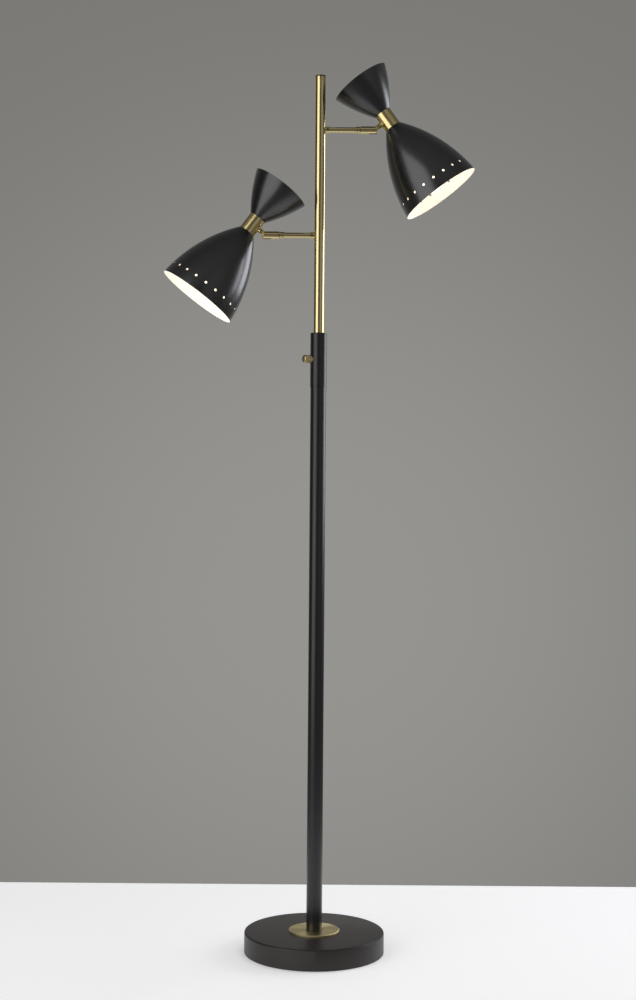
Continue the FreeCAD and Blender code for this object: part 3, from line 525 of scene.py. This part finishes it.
def holed_cell(tree, given, half_width):
    """One flat cell: rings of points run from its round hole to its square edge."""
    grid = add(tree, "GeometryNodeMeshGrid", {"Size X": 1.0, "Size Y": 1.0,
                                              "Vertices X": 4 * CELL_SIDE_SEGMENTS + 1, "Vertices Y": 6})
    flat = add(tree, "ShaderNodeSeparateXYZ", {0: add(tree, "GeometryNodeInputPosition")})
    # sides passed on the way round, 0 to 4, and the way out from the hole, 0 to 1
    around = add(tree, "ShaderNodeMath", {0: flat.outputs[0], 1: 4.0, 2: 2.0}, operation="MULTIPLY_ADD")
    outwards = add(tree, "ShaderNodeMath", {0: flat.outputs[1], 1: -1.0, 2: 0.5},
                   operation="MULTIPLY_ADD")
    # the square's edge: two waves, each held at its ends for one side's length
    past_left = add(tree, "ShaderNodeMath", {0: around, 1: 2.5}, operation="SUBTRACT")
    from_left = add(tree, "ShaderNodeMath", {0: past_left}, operation="ABSOLUTE")
    wave_x = add(tree, "ShaderNodeMath", {0: from_left, 1: 2.0, 2: -2.0}, operation="MULTIPLY_ADD")
    edge_x = add(tree, "ShaderNodeClamp", {"Value": wave_x, "Min": -1.0, "Max": 1.0})
    past_top = add(tree, "ShaderNodeMath", {0: around, 1: 1.5}, operation="SUBTRACT")
    from_top = add(tree, "ShaderNodeMath", {0: past_top}, operation="ABSOLUTE")
    wave_y = add(tree, "ShaderNodeMath", {0: from_top, 1: -2.0, 2: 2.0}, operation="MULTIPLY_ADD")
    edge_y = add(tree, "ShaderNodeClamp", {"Value": wave_y, "Min": -1.0, "Max": 1.0})
    square = add(tree, "ShaderNodeCombineXYZ", {
        0: add(tree, "ShaderNodeMath", {0: edge_x, 1: half_width}, operation="MULTIPLY"),
        1: add(tree, "ShaderNodeMath", {0: edge_y, 1: given["Cell half height"]}, operation="MULTIPLY")})
    # the hole's edge, with its corners' directions kept
    angle = add(tree, "ShaderNodeMath", {0: around, 1: math.pi / 2, 2: -math.pi / 4},
                operation="MULTIPLY_ADD")
    heading = add(tree, "ShaderNodeCombineXYZ", {
        0: add(tree, "ShaderNodeMath", {0: angle}, operation="COSINE"),
        1: add(tree, "ShaderNodeMath", {0: angle}, operation="SINE")})
    radius = add(tree, "ShaderNodeMath", {0: given["Hole diameter"], 1: 0.5}, operation="MULTIPLY")
    round_edge = add(tree, "ShaderNodeVectorMath", {0: heading, "Scale": radius}, operation="SCALE")
    spread = add(tree, "ShaderNodeMath", {0: outwards, 1: 1.4}, operation="POWER")
    placed = add(tree, "ShaderNodeMix", {0: spread, 4: round_edge, 5: square}, data_type="VECTOR")
    return add(tree, "GeometryNodeSetPosition", {"Geometry": grid, "Position": placed.outputs[1]})


def ring_of_cells(tree, given, half_width, pitch):
    """The cells in one flat row, as many as the ring has holes."""
    row = add(tree, "GeometryNodeMeshLine", {
        "Count": given["Hole count"],
        "Start Location": add(tree, "ShaderNodeCombineXYZ", {1: given["Hole row"]}),
        "Offset": add(tree, "ShaderNodeCombineXYZ", {0: pitch})})
    cells = add(tree, "GeometryNodeInstanceOnPoints", {"Points": row,
                                                       "Instance": holed_cell(tree, given, half_width)})
    return add(tree, "GeometryNodeRealizeInstances", {0: cells})


def plain_bands(tree, given, half_width, pitch):
    """The flat strip's parts without holes: the neck plate, and the side above and below the holes."""
    width = add(tree, "ShaderNodeMath", {0: pitch, 1: given["Hole count"]}, operation="MULTIPLY")
    columns = add(tree, "ShaderNodeMath", {0: given["Hole count"], 1: float(CELL_SIDE_SEGMENTS), 2: 1.0},
                  operation="MULTIPLY_ADD")
    half_strip = add(tree, "ShaderNodeMath", {0: width, 1: 0.5}, operation="MULTIPLY")
    centre = add(tree, "ShaderNodeMath", {0: half_strip, 1: half_width}, operation="SUBTRACT")
    cell_low = add(tree, "ShaderNodeMath", {0: given["Hole row"], 1: given["Cell half height"]},
                   operation="SUBTRACT")
    cell_high = add(tree, "ShaderNodeMath", {0: given["Hole row"], 1: given["Cell half height"]},
                    operation="ADD")
    plate_start = add(tree, "ShaderNodeMath", {0: given["Plate width"], 1: -1.0}, operation="MULTIPLY")
    neck = 0.0
    bands = []
    for low, high, rows in ((plate_start, neck, 4), (neck, cell_low, 26),
                            (cell_high, given["Side length"], 4)):
        height = add(tree, "ShaderNodeMath", {0: high, 1: low}, operation="SUBTRACT")
        middle = add(tree, "ShaderNodeMath", {0: height, 1: 0.5, 2: low}, operation="MULTIPLY_ADD")
        band = add(tree, "GeometryNodeMeshGrid", {"Size X": width, "Size Y": height,
                                                  "Vertices X": columns, "Vertices Y": rows})
        bands.append(add(tree, "GeometryNodeTransform", {
            "Geometry": band, "Translation": add(tree, "ShaderNodeCombineXYZ", {0: centre, 1: middle})}))
    return bands


def wrapped_on_arc(tree, given, strip):
    """Roll the flat strip up: its length goes round the axis and its height along the side's arc."""
    here = add(tree, "ShaderNodeSeparateXYZ", {0: add(tree, "GeometryNodeInputPosition")})
    heading = add(tree, "ShaderNodeMath", {0: here.outputs[0], 1: given["Hole ring radius"]},
                  operation="DIVIDE")
    down_side = add(tree, "ShaderNodeMath", {0: here.outputs[1], 1: 0.0}, operation="MAXIMUM")
    on_plate = add(tree, "ShaderNodeMath", {0: here.outputs[1], 1: 0.0}, operation="MINIMUM")
    past_neck = add(tree, "ShaderNodeMath", {0: down_side, 1: given["Arc radius"]}, operation="DIVIDE")
    bearing = add(tree, "ShaderNodeMath", {0: past_neck, 1: given["Neck angle"]}, operation="ADD")
    arc_radius = add(tree, "ShaderNodeMath", {
        0: add(tree, "ShaderNodeMath", {0: bearing}, operation="COSINE"),
        1: given["Arc radius"], 2: given["Arc centre out"]}, operation="MULTIPLY_ADD")
    radius = add(tree, "ShaderNodeMath", {0: arc_radius, 1: on_plate}, operation="ADD")
    depth = add(tree, "ShaderNodeMath", {
        0: add(tree, "ShaderNodeMath", {0: bearing}, operation="SINE"),
        1: given["Arc radius"], 2: given["Arc centre along"]}, operation="MULTIPLY_ADD")
    across = [add(tree, "ShaderNodeMath", {
        0: radius, 1: add(tree, "ShaderNodeMath", {0: heading}, operation=wave)}, operation="MULTIPLY")
        for wave in ("COSINE", "SINE")]
    return add(tree, "GeometryNodeSetPosition", {
        "Geometry": strip,
        "Position": add(tree, "ShaderNodeCombineXYZ", {0: across[0], 1: across[1], 2: depth})})


def perforated_shell_tree(sizes):
    """A bell wrapped from a flat strip: one cell with a round hole, repeated round the ring,
    plain bands above and below it, and the metal's thickness inwards."""
    tree, given = sized_tree("perforated_shell", sizes)
    half_turn = add(tree, "ShaderNodeMath", {0: given["Hole ring radius"], 1: math.pi},
                    operation="MULTIPLY")
    half_width = add(tree, "ShaderNodeMath", {0: half_turn, 1: given["Hole count"]}, operation="DIVIDE")
    pitch = add(tree, "ShaderNodeMath", {0: half_width, 1: 2.0}, operation="MULTIPLY")
    ring = ring_of_cells(tree, given, half_width, pitch)
    bands = plain_bands(tree, given, half_width, pitch)
    strip = add(tree, "GeometryNodeJoinGeometry", {0: [ring] + bands})
    skin = add(tree, "GeometryNodeMergeByDistance", {"Geometry": wrapped_on_arc(tree, given, strip),
                                                     "Distance": SEAM})
    wall = add(tree, "ShaderNodeMath", {0: given["Wall"], 1: -1.0}, operation="MULTIPLY")
    pushed = add(tree, "GeometryNodeExtrudeMesh", {"Mesh": skin, "Offset Scale": wall,
                                                   "Individual": False}, mode="FACES")
    lining = add(tree, "GeometryNodeFlipFaces", {0: pushed.outputs["Mesh"]})
    shell = add(tree, "GeometryNodeMergeByDistance", {
        "Geometry": add(tree, "GeometryNodeJoinGeometry", {0: [skin, lining]}), "Distance": SEAM})
    whole = add(tree, "GeometryNodeRealizeInstances", {0: shell})
    black = add(tree, "GeometryNodeSetMaterial", {"Geometry": whole, "Material": BLACK_SHELL})
    white = add(tree, "GeometryNodeSetMaterial", {"Geometry": black, "Selection": pushed.outputs["Top"],
                                                  "Material": WHITE_INSIDE_GLOW})
    add(tree, "NodeGroupOutput", {0: white})
    return tree


def fluted_grip_tree(sizes):
    """Press round flutes into a turned grip, evenly round its axis."""
    tree, given = sized_tree("fluted_grip", sizes)
    here = add(tree, "ShaderNodeSeparateXYZ", {0: add(tree, "GeometryNodeInputPosition")})
    flat = add(tree, "ShaderNodeCombineXYZ", {0: here.outputs[0], 1: here.outputs[1]})
    radius = add(tree, "ShaderNodeVectorMath", {0: flat}, operation="LENGTH").outputs["Value"]
    heading = add(tree, "ShaderNodeMath", {0: here.outputs[1], 1: here.outputs[0]}, operation="ARCTAN2")
    half_pitch = add(tree, "ShaderNodeMath", {0: math.pi, 1: given["Flute count"]}, operation="DIVIDE")
    back_half = add(tree, "ShaderNodeMath", {0: half_pitch, 1: -1.0}, operation="MULTIPLY")
    from_flute = add(tree, "ShaderNodeMath", {0: heading, 1: half_pitch, 2: back_half}, operation="WRAP")
    # how far out a flute's round wall lies in this direction
    both_radii = add(tree, "ShaderNodeMath", {0: given["Grip radius"], 1: given["Flute radius"]},
                     operation="ADD")
    axis_radius = add(tree, "ShaderNodeMath", {0: both_radii, 1: given["Flute depth"]},
                      operation="SUBTRACT")
    sideways = add(tree, "ShaderNodeMath", {
        0: axis_radius, 1: add(tree, "ShaderNodeMath", {0: from_flute}, operation="SINE")},
        operation="MULTIPLY")
    inside = add(tree, "ShaderNodeMath", {
        0: add(tree, "ShaderNodeMath", {0: given["Flute radius"], 1: 2.0}, operation="POWER"),
        1: add(tree, "ShaderNodeMath", {0: sideways, 1: sideways}, operation="MULTIPLY")},
        operation="SUBTRACT")
    reach = add(tree, "ShaderNodeMath", {
        0: add(tree, "ShaderNodeMath", {0: inside, 1: 0.0}, operation="MAXIMUM")}, operation="SQRT")
    ahead = add(tree, "ShaderNodeMath", {
        0: axis_radius, 1: add(tree, "ShaderNodeMath", {0: from_flute}, operation="COSINE")},
        operation="MULTIPLY")
    flute = add(tree, "ShaderNodeMath", {0: ahead, 1: reach}, operation="SUBTRACT")
    outside = add(tree, "ShaderNodeMath", {0: inside, 1: 0.0}, operation="LESS_THAN")
    limit = add(tree, "ShaderNodeMath", {0: outside, 1: given["Grip radius"], 2: flute},
                operation="MULTIPLY_ADD")
    pressed = add(tree, "ShaderNodeMath", {0: radius, 1: limit}, operation="MINIMUM")
    share = add(tree, "ShaderNodeMath", {0: pressed, 1: radius}, operation="DIVIDE")
    drawn_in = [add(tree, "ShaderNodeMath", {0: here.outputs[axis], 1: share}, operation="MULTIPLY")
                for axis in (0, 1)]
    fluted = add(tree, "GeometryNodeSetPosition", {
        "Geometry": given["Geometry"],
        "Position": add(tree, "ShaderNodeCombineXYZ", {0: drawn_in[0], 1: drawn_in[1],
                                                       2: here.outputs[2]})})
    whole = add(tree, "GeometryNodeRealizeInstances", {0: fluted})
    brass = add(tree, "GeometryNodeSetMaterial", {"Geometry": whole, "Material": BRASS_SPUN})
    add(tree, "NodeGroupOutput", {0: brass})
    return tree


# --------------------------------------------------------------------- base
def trim_disc():
    outline = eased([(DISC_BORE_RADIUS, DISC_BOTTOM), (DISC_RADIUS, DISC_BOTTOM),
                     (DISC_RADIUS, DISC_TOP - DISC_BEVEL, 0.4), (DISC_RADIUS - DISC_BEVEL, DISC_TOP, 0.5),
                     (DISC_BORE_RADIUS, DISC_TOP)])
    settle("trim_disc", turned(outline, segments=160), POLE_AXIS, "stand", ["base_trim_disc"], [BRASS_DISC])


def base():
    """Black cover, the bushing in its back, and the brass disc under the pole."""
    settle("base_shell", refined("base_cover", POLE_AXIS), POLE_AXIS, "stand", ["base_cover"], [BLACK_BASE])
    settle("outlet_bushing", refined("cord_outlet_bushing", POLE_AXIS), POLE_AXIS, "stand",
           ["cord_outlet_bushing"], [PHENOLIC])
    trim_disc()


# --------------------------------------------------------------------- pole
def black_pole():
    """The black tube between its CAD node's ends, with eased outer edges, and its upper pieces."""
    low, high = (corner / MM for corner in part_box("lower_tube"))
    outline = [(BLACK_TUBE_BORE_RADIUS, low.z), (high.x, low.z, BLACK_TUBE_EASING),
               (high.x, high.z, BLACK_TUBE_EASING), (BLACK_TUBE_BORE_RADIUS, high.z)]
    settle("lower_pole", turned(eased(outline)), POLE_AXIS, "stand", ["lower_tube"], [BLACK_POLE])
    for node in ("switch_housing", "housing_top_bushing"):
        settle(node + "_skin", refined(node, POLE_AXIS), POLE_AXIS, "stand", [node], [BLACK_POLE])


def drilled(mesh):
    """The brass tube's mesh with a hole in its wall for each arm."""
    carrier = bpy.data.objects.new("carrier", mesh)
    bpy.context.scene.collection.objects.link(carrier)
    length = 2 * BRASS_TUBE_RADIUS
    drills = []
    for side in SIDES:
        rod = turned([(0, 0), (ARM_HOLE_RADIUS, 0), (ARM_HOLE_RADIUS, length), (0, length)],
                     segments=32)
        drill = bpy.data.objects.new("drill", rod)
        drill.data.transform(arm_place(side) @ ALONG_X)
        bpy.context.scene.collection.objects.link(drill)
        drills.append(drill)
        cut = carrier.modifiers.new("bore", "BOOLEAN")
        cut.object = drill
        cut.solver = "EXACT"
    evaluated = carrier.evaluated_get(bpy.context.evaluated_depsgraph_get())
    bored = bpy.data.meshes.new_from_object(evaluated)
    for thing in [carrier] + drills:
        bpy.data.objects.remove(thing)
    return bored


def brass_pole():
    """The brass tube, with rows of points just above and below each ferrule, and its cap."""
    low, high = (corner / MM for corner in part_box("upper_tube"))
    outer = BRASS_TUBE_RADIUS
    inner = BRASS_TUBE_RADIUS - BRASS_TUBE_WALL
    heights = sorted(side.height + step for side in SIDES for step in (-FERRULE_COVER, FERRULE_COVER))
    outline = [(outer, low.z)] + [(outer, height) for height in heights]
    outline += [(outer, high.z, BRASS_TUBE_EASING), (inner, high.z)]
    outline += [(inner, height) for height in reversed(heights)] + [(inner, low.z)]
    bored = drilled(turned(eased(outline)))
    settle("brass_pole", bored, POLE_AXIS, "stand", ["upper_tube"], [BRASS_DRAWN])
    settle("pole_cap", refined("top_cap", POLE_AXIS), POLE_AXIS, "stand", ["top_cap"], [BRASS_CAP])


# ------------------------------------------------------------------- switch
def switch():
    """Ring nut, switch body, and the fluted brass knob."""
    axis = shift(z=SWITCH_HEIGHT) @ turn(SWITCH_HEADING, "Z") @ ALONG_X
    settle("switch_nut", refined("switch_ring_nut", axis), axis, "stand", ["switch_ring_nut"], [BRASS_SPUN])
    settle("switch_case", refined("switch_body", axis), axis, "stand", ["switch_body"], [PHENOLIC])
    end = KNOB_START + KNOB_LENGTH
    recess = KNOB_START + KNOB_RECESS_DEPTH
    spindle_end = end - KNOB_FRONT
    straight = KNOB_LENGTH - KNOB_CROWN
    rows = 10
    side = [(KNOB_RADIUS, KNOB_START + straight * row / rows) for row in range(rows)]
    crown = eased([(KNOB_RADIUS, KNOB_START), (KNOB_RADIUS, end, KNOB_CROWN), (0, end)],
                  steps=10)[1:]
    outline = [(KNOB_RECESS_RADIUS, recess), (KNOB_RECESS_RADIUS, KNOB_START)] + side + crown
    outline += [(0, spindle_end), (SPINDLE_HOLE_RADIUS, spindle_end), (SPINDLE_HOLE_RADIUS, recess)]
    grip = grown(turned(outline, segments=240), fluted_grip_tree(FLUTES), FLUTES)
    settle("switch_grip", grip, axis, "knob", ["switch_knob"], [])


# --------------------------------------------------------------------- arms
def arms():
    """Each arm's fixed pieces, and the pieces that turn with its swivel."""
    for side in SIDES:
        fixed = arm_place(side) @ ALONG_X
        turning = swivel_place(side) @ ALONG_X
        for part, finish_of in (("arm_ferrule", BRASS_SPUN), ("arm_rod", BRASS_DRAWN),
                                ("swivel_spigot", BRASS_SPUN)):
            node = side.name + "_" + part
            settle(node + "_skin", refined(node, fixed), fixed, "stand", [node], [finish_of])
        for part, finish_of, slot in (("swivel_sleeve", BRASS_SPUN, "polished_brass"),
                                      ("pivot_screw", BRASS_SPUN, "polished_brass"),
                                      ("stop_screw", DARK_STEEL, "dark_steel")):
            node = side.name + "_" + part
            settle(node + "_skin", refined(node, turning), turning, side.name + "_swivel", [node],
                   [finish_of])
    settle("arm_set_screws_skin", refined("arm_set_screws", POLE_AXIS), POLE_AXIS, "stand",
           ["arm_set_screws"], [BRASS_SPUN])


# -------------------------------------------------------------------- heads
def bulb_outline(rows=16):
    """Pear-shaped glass: a ball blended into its neck by one hollow arc, outside and inside."""
    rise = BULB_LENGTH - BULB_RADIUS
    blend = (BULB_NECK_RADIUS ** 2 + rise ** 2 - BULB_RADIUS ** 2) / (2 * (BULB_RADIUS - BULB_NECK_RADIUS))
    join = math.atan2(rise, BULB_NECK_RADIUS + blend)
    ball_depth = BULB_NECK_DEPTH + rise

    def skin(ball_radius, blend_radius):
        points = []
        for row in range(rows):
            angle = join * row / rows
            points.append((BULB_NECK_RADIUS + blend - blend_radius * math.cos(angle),
                           BULB_NECK_DEPTH + blend_radius * math.sin(angle)))
        for row in range(2 * rows + 1):
            angle = join - (join + math.pi / 2) * row / (2 * rows)
            points.append((max(ball_radius * math.cos(angle), 0.0),
                           ball_depth - ball_radius * math.sin(angle)))
        return points

    outer = skin(BULB_RADIUS, blend)
    inner = skin(BULB_RADIUS - GLASS_WALL, blend + GLASS_WALL)
    return outer + inner[::-1]


def heads():
    """Each head: perforated shade, cone, lit bulb, and the turned pieces that join them."""
    out, along, radius, neck, end = arc_side(**SHADE)
    hole_bearing = math.asin((SHADE["length"] - HOLE_RING_HEIGHT - along) / radius)
    sizes = {"Hole count": HOLE_COUNT, "Hole diameter": HOLE_DIAMETER,
             "Hole ring radius": out + radius * math.cos(hole_bearing),
             "Hole row": (hole_bearing - neck) * radius, "Cell half height": CELL_HALF_HEIGHT,
             "Side length": (end - neck) * radius, "Plate width": NECK_RADIUS - SHELL_HOLE_RADIUS,
             "Arc radius": radius, "Arc centre out": out, "Arc centre along": along, "Neck angle": neck,
             "Wall": SHELL_WALL}
    tree = perforated_shell_tree(sizes)
    cone = turned(cone_outline(), segments=144)
    bulb = turned(bulb_outline(), segments=72)
    for side in SIDES:
        place = head_place(side)
        body = side.name + "_head"
        shell = grown(bpy.data.meshes.new("strip"), tree, sizes)
        settle(side.name + "_shade", shell, shade_place(side), body, [side.name + "_lower_shade"], [])
        settle(side.name + "_cone", cone.copy(), place @ shift(z=COLLAR_HALF), body,
               [side.name + "_upper_cone"], [BLACK_SHELL])
        settle(side.name + "_bulb", bulb.copy(), place @ shift(z=-COLLAR_HALF) @ DOWN, body,
               [side.name + "_bulb_glass"], [BULB_GLASS])
        for part, finish_of, slot in (("head_stub", BRASS_SPUN, "polished_brass"),
                                      ("head_collar", BRASS_SPUN, "polished_brass"),
                                      ("head_nipple", ZINC, "zinc_steel"),
                                      ("head_nut", ZINC, "zinc_steel"),
                                      ("lamp_socket", PHENOLIC, "black_plastic"),
                                      ("bulb_base", BULB_CAP, "bulb_cap")):
            node = side.name + "_" + part
            settle(node + "_skin", refined(node, place), place, body, [node], [finish_of])


def inner_hardware():
    """Pieces hidden inside the base and the pole keep their CAD shape and get their own metal."""
    finishes = {"base_pad": FELT, "base_weight": CAST_IRON}
    for node in ("base_pipe", "base_washer", "base_lock_washer", "base_nut", "lower_tube_bottom_plug",
                 "lower_tube_top_plug", "pole_joint_nipple", "pole_joint_nut", "switch_housing_plug",
                 "upper_tube_plug", "upper_tube_nipple", "upper_tube_nut", "switch_spindle",
                 "arm_lock_nuts"):
        finishes[node] = ZINC
    for node, material in finishes.items():
        slots = frame["nodes"][node].data.materials
        slots.clear()
        slots.append(material)


# ------------------------------------------------------------ studio and light
def white_board():
    """Matt white board of a studio table. The lens sees it plain; reflections see it grow darker
    away from the lamp, where such a table ends."""
    material, tree, shader = finish("matt_white_board", BOARD_WHITE, Roughness=0.6)
    rays = add(tree, "ShaderNodeLightPath")
    place = add(tree, "ShaderNodeTexCoord").outputs["Object"]
    reach = add(tree, "ShaderNodeVectorMath", {0: place}, operation="LENGTH")
    falloff = add(tree, "ShaderNodeMapRange", {"Value": reach.outputs["Value"], "From Min": 0.5,
                                               "From Max": 1.1, "To Min": 1.0, "To Max": 0.2},
                  interpolation_type="SMOOTHSTEP")
    level = add(tree, "ShaderNodeMix", {0: rays.outputs["Is Glossy Ray"], 2: 1.0, 3: falloff})
    tone = add(tree, "ShaderNodeVectorMath", {0: linear(BOARD_WHITE)[:3], "Scale": level},
               operation="SCALE")
    tree.links.new(tone.outputs[0], shader.inputs["Base Color"])
    tree.links.new(tone.outputs[0], shader.inputs["Emission Color"])
    through = add(tree, "ShaderNodeMath", {0: rays.outputs["Is Camera Ray"],
                                           1: rays.outputs["Is Transmission Ray"]}, operation="MAXIMUM")
    seen = add(tree, "ShaderNodeMath", {0: through, 1: rays.outputs["Is Glossy Ray"]},
               operation="MAXIMUM")
    lift = add(tree, "ShaderNodeMath", {0: seen, 1: 0.32}, operation="MULTIPLY")
    tree.links.new(lift.outputs[0], shader.inputs["Emission Strength"])
    return material


def studio():
    """A white board for a floor, ending behind the lamp as a photographer's table does."""
    board = bpy.data.meshes.new("board")
    half_width, rear, front, thick = 4.0, 0.498, -5.0, 0.018
    corner_shade = [(x, y, z) for z in (-thick, 0.0) for y in (front, rear) for x in (-half_width, half_width)]
    faces = [(0, 2, 3, 1), (4, 5, 7, 6), (0, 1, 5, 4), (2, 6, 7, 3), (0, 4, 6, 2), (1, 3, 7, 5)]
    board.from_pydata(corner_shade, [], faces)
    board.materials.append(white_board())
    floor = bpy.data.objects.new("floor_board", board)
    bpy.context.scene.collection.objects.link(floor)


def softbox(name, place, aim, size, radiance, hex_colour="#FFFFFF", seen_in_gloss=True):
    """A rectangular light whose face gives the radiance, where 1 is white."""
    light = bpy.data.lights.new(name, "AREA")
    light.shape = "RECTANGLE"
    light.size, light.size_y = size
    light.energy = radiance * math.pi * size[0] * size[1]
    light.color = linear(hex_colour)[:3]
    lamp = bpy.data.objects.new(name, light)
    lamp.location = place
    lamp.rotation_mode = "QUATERNION"
    lamp.rotation_quaternion = (Vector(aim) - Vector(place)).to_track_quat("-Z", "Y")
    lamp.visible_glossy = seen_in_gloss
    bpy.context.scene.collection.objects.link(lamp)


def lights():
    """Tall box at the left front, cool box at the right back, and a soft light from above."""
    softbox("left_front_box", place=(-1.71, -1.68, 1.52), aim=(0, 0, 1.52), size=(2.1, 2.95),
            radiance=1.5)
    softbox("right_back_box", place=(2.22, 0.9, 1.43), aim=(0, 0, 1.43), size=(1.95, 1.3),
            radiance=3.4, hex_colour="#F5F6FF")
    softbox("overhead_box", place=(0.6, 0.1, 3.2), aim=(0, 0, 0), size=(1.6, 1.6), radiance=3.2,
            seen_in_gloss=False)


def backdrop_colour(tree, towards):
    """The grey behind the lamp, lightest just below its middle."""
    across = add(tree, "ShaderNodeVectorMath", {0: towards, 1: (0.0, 1.0, -0.06)}, operation="DISTANCE")
    spread = add(tree, "ShaderNodeMapRange", {"Value": across.outputs["Value"], "From Min": 0.04,
                                              "From Max": 0.42}, interpolation_type="SMOOTHSTEP")
    return add(tree, "ShaderNodeMix", {0: spread, 6: linear("#959490"), 7: linear("#7B7A77")},
               data_type="RGBA").outputs[2]


def room_colour(tree, towards):
    """What metal and lacquer reflect: the room's lit and dark quarters, and its ceiling."""
    parts = add(tree, "ShaderNodeSeparateXYZ", {0: towards})
    frontwards = add(tree, "ShaderNodeMath", {0: parts.outputs[1], 1: -1.0}, operation="MULTIPLY")
    around = add(tree, "ShaderNodeMath", {0: parts.outputs[0], 1: frontwards}, operation="ARCTAN2")
    share = add(tree, "ShaderNodeMapRange", {"Value": around, "From Min": -math.pi, "From Max": math.pi})
    quarters = add(tree, "ShaderNodeValToRGB", {0: share})
    stops = quarters.color_ramp.elements
    while len(stops) < len(ROOM_LEVELS):
        stops.new(0.5)
    for stop, (degrees, level) in zip(stops, ROOM_LEVELS):
        stop.position = degrees / 360 + 0.5
        stop.color = (level, level, level * 0.97, 1.0)
    height = add(tree, "ShaderNodeMapRange", {"Value": parts.outputs[2], "From Min": 0.3,
                                              "From Max": 0.5}, interpolation_type="SMOOTHSTEP")
    overhead = add(tree, "ShaderNodeMapRange", {"Value": frontwards, "From Max": 0.8, "To Min": 0.12,
                                                "To Max": 0.3})
    return add(tree, "ShaderNodeMix", {0: height, 6: quarters, 7: overhead}, data_type="RGBA").outputs[2]


def world():
    """Grey studio: a backdrop for the lens, the room for reflections, an even fill for the rest."""
    space = bpy.data.worlds.new("studio")
    space.use_nodes = True
    tree = space.node_tree
    tree.nodes.clear()
    towards = add(tree, "ShaderNodeTexCoord").outputs["Generated"]
    rays = add(tree, "ShaderNodeLightPath")
    seen = add(tree, "ShaderNodeMath", {0: rays.outputs["Is Camera Ray"],
                                        1: rays.outputs["Is Transmission Ray"]}, operation="MAXIMUM")
    fill = add(tree, "ShaderNodeBackground", {"Color": linear("#FFFFFF"), "Strength": 0.28})
    room = add(tree, "ShaderNodeBackground", {"Color": room_colour(tree, towards), "Strength": 1.0})
    wall = add(tree, "ShaderNodeBackground", {"Color": backdrop_colour(tree, towards), "Strength": 1.0})
    gloss = add(tree, "ShaderNodeMixShader", {0: rays.outputs["Is Glossy Ray"], 1: fill, 2: room})
    whole = add(tree, "ShaderNodeMixShader", {0: seen, 1: gloss, 2: wall})
    add(tree, "ShaderNodeOutputWorld", {0: whole})
    bpy.context.scene.world = space


def camera():
    """Level camera 2.87 m in front of the pole, at about half the lamp's height."""
    lens = bpy.data.cameras.new("camera")
    lens.lens = 56.7
    lens.sensor_width = 36.0
    eye = bpy.data.objects.new("camera", lens)
    roll = 0.45
    eye.matrix_world = shift(0.0011, -2.869, 0.8223) @ turn(90, "X") @ turn(roll, "Z")
    bpy.context.scene.collection.objects.link(eye)
    bpy.context.scene.camera = eye


base()
black_pole()
brass_pole()
switch()
arms()
heads()
inner_hardware()
studio()
lights()
world()
camera()
bpy.context.scene.view_settings.view_transform = "Standard"
